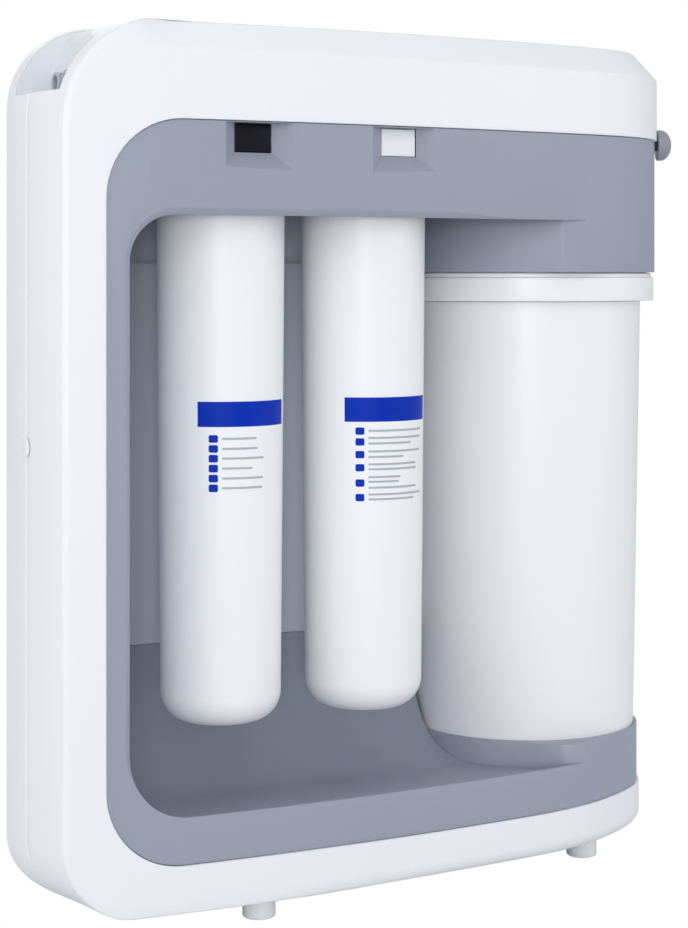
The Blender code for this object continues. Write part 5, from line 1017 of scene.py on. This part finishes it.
def make_knob():
    seat, rim, hub = END_RADIUS + 0.0005, 0.0022, 0.0040
    tip, slot_half, slot_depth = seat + KNOB_LENGTH, 0.0008, 0.0015
    profile = [(STEM_RADIUS, seat), (0.0079, seat), (KNOB_RADIUS, seat + 0.0004)]
    for turn in quarter(12)[:-1]:
        profile.append((KNOB_RADIUS * math.cos(turn),
                        seat + rim + (KNOB_LENGTH - rim) * math.sin(turn)))
    profile += [(0, tip), (0, seat + hub), (STEM_RADIUS, seat + hub)]
    knob = lathe("mixing_knob_dome", profile, 64, ring=True)
    cut(knob, box("slot", (-KNOB_RADIUS, KNOB_RADIUS), (-slot_half, slot_half),
                  (tip - slot_depth, tip + OVERCUT)))
    round_edges(knob, 0.0002)
    along_end_radius(knob, KNOB_HEIGHT)
    dress(knob, "mixing_control", "grey_plastic", ["mixing_knob"], KNOB)


def make_small_parts():
    """Feet, the plug on the side and the casing screws."""
    tread = [(0, 0.0004), (0.0040, 0.0004), (0.0046, 0), (0.0068, 0), (0.0076, 0.0004)]
    pad = [(FOOT_RADIUS, 0.0012), (FOOT_RADIUS, FOOT_HIGH)]
    peg = [(FOOT_PEG, FOOT_HIGH), (FOOT_PEG, FOOT_PEG_HIGH), (0, FOOT_PEG_HIGH)]
    for name, (x, y) in FEET.items():
        foot = shifted(lathe(f"{name}_pad", tread + pad + peg, 48), x, y)
        dress(foot, "casing", "foot_rubber", [name])
    disc = [(0, -0.0005), (0.0038, -0.0005), (0.0043, -0.0003), (PLUG_RADIUS, 0)]
    peg = [(PLUG_PEG, 0), (PLUG_PEG, PLUG_DEPTH), (0, PLUG_DEPTH)]
    plug = along_x(lathe("side_plug_disc", disc + peg, 48), LEFT - GAP, SEAM, PLUG_HEIGHT)
    dress(plug, "casing", "white_plastic", ["side_plug"])
    under, notch, notch_high = 0.0120, 0.0132, 0.0160
    shank = [(0, 0), (0.0009, 0), (0.0016, 0.0012), (0.0016, under)]
    head = [(SCREW_HEAD, under), (SCREW_HEAD, 0.0136), (0.0031, 0.0142), (0.0022, 0.0144), (0, 0.0144)]
    for side, x in SCREW_SIDES.items():
        for level, z in SCREW_LEVELS.items():
            screw = lathe(f"screw_{level}_{side}", shank + head, 40)
            for turn in (0, math.pi / 2):
                blade = box("blade", (-0.0018, 0.0018), (-0.0004, 0.0004), (notch, notch_high))
                cut(screw, move_mesh(blade, Matrix.Rotation(turn, 4, "Z")))
            along_y(screw, x, back_face_y(x) - SCREW_DEPTH, z)
            dress(screw, "casing", "spring_steel", [f"casing_screw_{level}_{side}"])


def make_bag():
    """The tank's rubber bag, with soft upright folds."""
    low, high, neck_high, radius, levels = 0.0686, 0.2646, 0.2788, 0.0520, 24
    folds, fold_depth, fold_reach, fullness = 10, 0.035, 0.05, 0.6
    profile = [(0, low)]
    for k in range(1, levels + 1):
        turn = math.pi * k / levels * 0.8
        profile.append((radius * math.sin(turn) ** fullness,
                        low + (high - low) * (1 - math.cos(turn)) / 2))
    profile += [(0.0075, high), (0.0070, neck_high), (0, neck_high)]
    bag = lathe("tank_bag_folds", profile, 120)
    for vertex in bag.data.vertices:
        x, y, z = vertex.co
        wave = 0.5 - 0.5 * math.cos(folds * math.atan2(y, x))
        share = 1 - fold_depth * wave * min(math.hypot(x, y) / fold_reach, 1) ** 2
        vertex.co = (x * share, y * share, z)
    dress(shifted(bag, TANK_X, TANK_Y), "casing", "bag_rubber", ["tank_bag"], angle=60)


# Stage, lights and camera

def split_by_ray(tree, lit, seen, output):
    """The camera sees one shader, and every other ray meets the other one."""
    rays = tree.nodes.new("ShaderNodeLightPath")
    mix = tree.nodes.new("ShaderNodeMixShader")
    tree.links.new(rays.outputs["Is Camera Ray"], mix.inputs["Fac"])
    tree.links.new(lit.outputs[0], mix.inputs[1])
    tree.links.new(seen.outputs[0], mix.inputs[2])
    tree.links.new(mix.outputs["Shader"], tree.nodes[output].inputs["Surface"])


def make_stage():
    floor = add_object("floor", [(-6, -6, 0), (6, -6, 0), (6, 6, 0), (-6, 6, 0)], [(0, 1, 2, 3)])
    pale = bpy.data.materials.new("pale_floor")
    pale.use_nodes = True
    nodes = pale.node_tree.nodes
    nodes.remove(nodes["Principled BSDF"])
    glow, bounce = nodes.new("ShaderNodeEmission"), nodes.new("ShaderNodeBsdfDiffuse")
    glow.inputs["Color"].default_value = (1, 1, 1, 1)
    bounce.inputs["Color"].default_value = (0.80, 0.80, 0.82, 1)
    split_by_ray(pale.node_tree, bounce, glow, "Material Output")
    floor.data.materials.append(pale)
    world = bpy.data.worlds.new("studio")
    bpy.context.scene.world = world
    world.use_nodes = True
    nodes = world.node_tree.nodes
    lit, seen = nodes["Background"], nodes.new("ShaderNodeBackground")
    lit.inputs["Color"].default_value = (0.93, 0.95, 1.0, 1)
    lit.inputs["Strength"].default_value = 0.62
    seen.inputs["Color"].default_value = (1, 1, 1, 1)
    seen.inputs["Strength"].default_value = 1.0
    split_by_ray(world.node_tree, lit, seen, "World Output")


def make_lamps():
    for name, (place, size, power) in LAMPS.items():
        data = bpy.data.lights.new(name, "AREA")
        data.shape = "RECTANGLE"
        data.size = data.size_y = size
        data.energy = power
        lamp = bpy.data.objects.new(name, data)
        lamp.location = place
        direction = Vector(LAMP_TARGET) - Vector(place)
        lamp.rotation_euler = direction.to_track_quat("-Z", "Y").to_euler()
        bpy.context.scene.collection.objects.link(lamp)


def make_camera():
    data = bpy.data.cameras.new("photo_camera")
    data.lens, data.sensor_width = CAMERA_LENS, CAMERA_SENSOR
    data.shift_y = CAMERA_SHIFT
    data.clip_start = 0.01
    camera = bpy.data.objects.new("photo_camera", data)
    camera.location = CAMERA_PLACE
    camera.rotation_euler = (math.pi / 2, 0, CAMERA_TURN)
    bpy.context.scene.collection.objects.link(camera)
    bpy.context.scene.camera = camera
    bpy.context.scene.view_settings.view_transform = "Standard"


def build():
    paint_carried_nodes()
    make_shells()
    make_panel()
    make_frame()
    make_floor()
    make_bay_liner()
    for name, (x, y, way) in CARTRIDGES.items():
        make_cartridge(name, x, y)
        make_cap(name, x, y)
        make_labels(name, (x, y, way), *LABEL_ROWS[name])
        make_button(name, x, way, "white_plastic" if name == "postfilter" else "black_plastic")
        make_spring(name, x)
    make_tank()
    make_bag()
    make_knob()
    make_small_parts()
    make_stage()
    make_lamps()
    make_camera()


build()
bpy.context.view_layer.update()
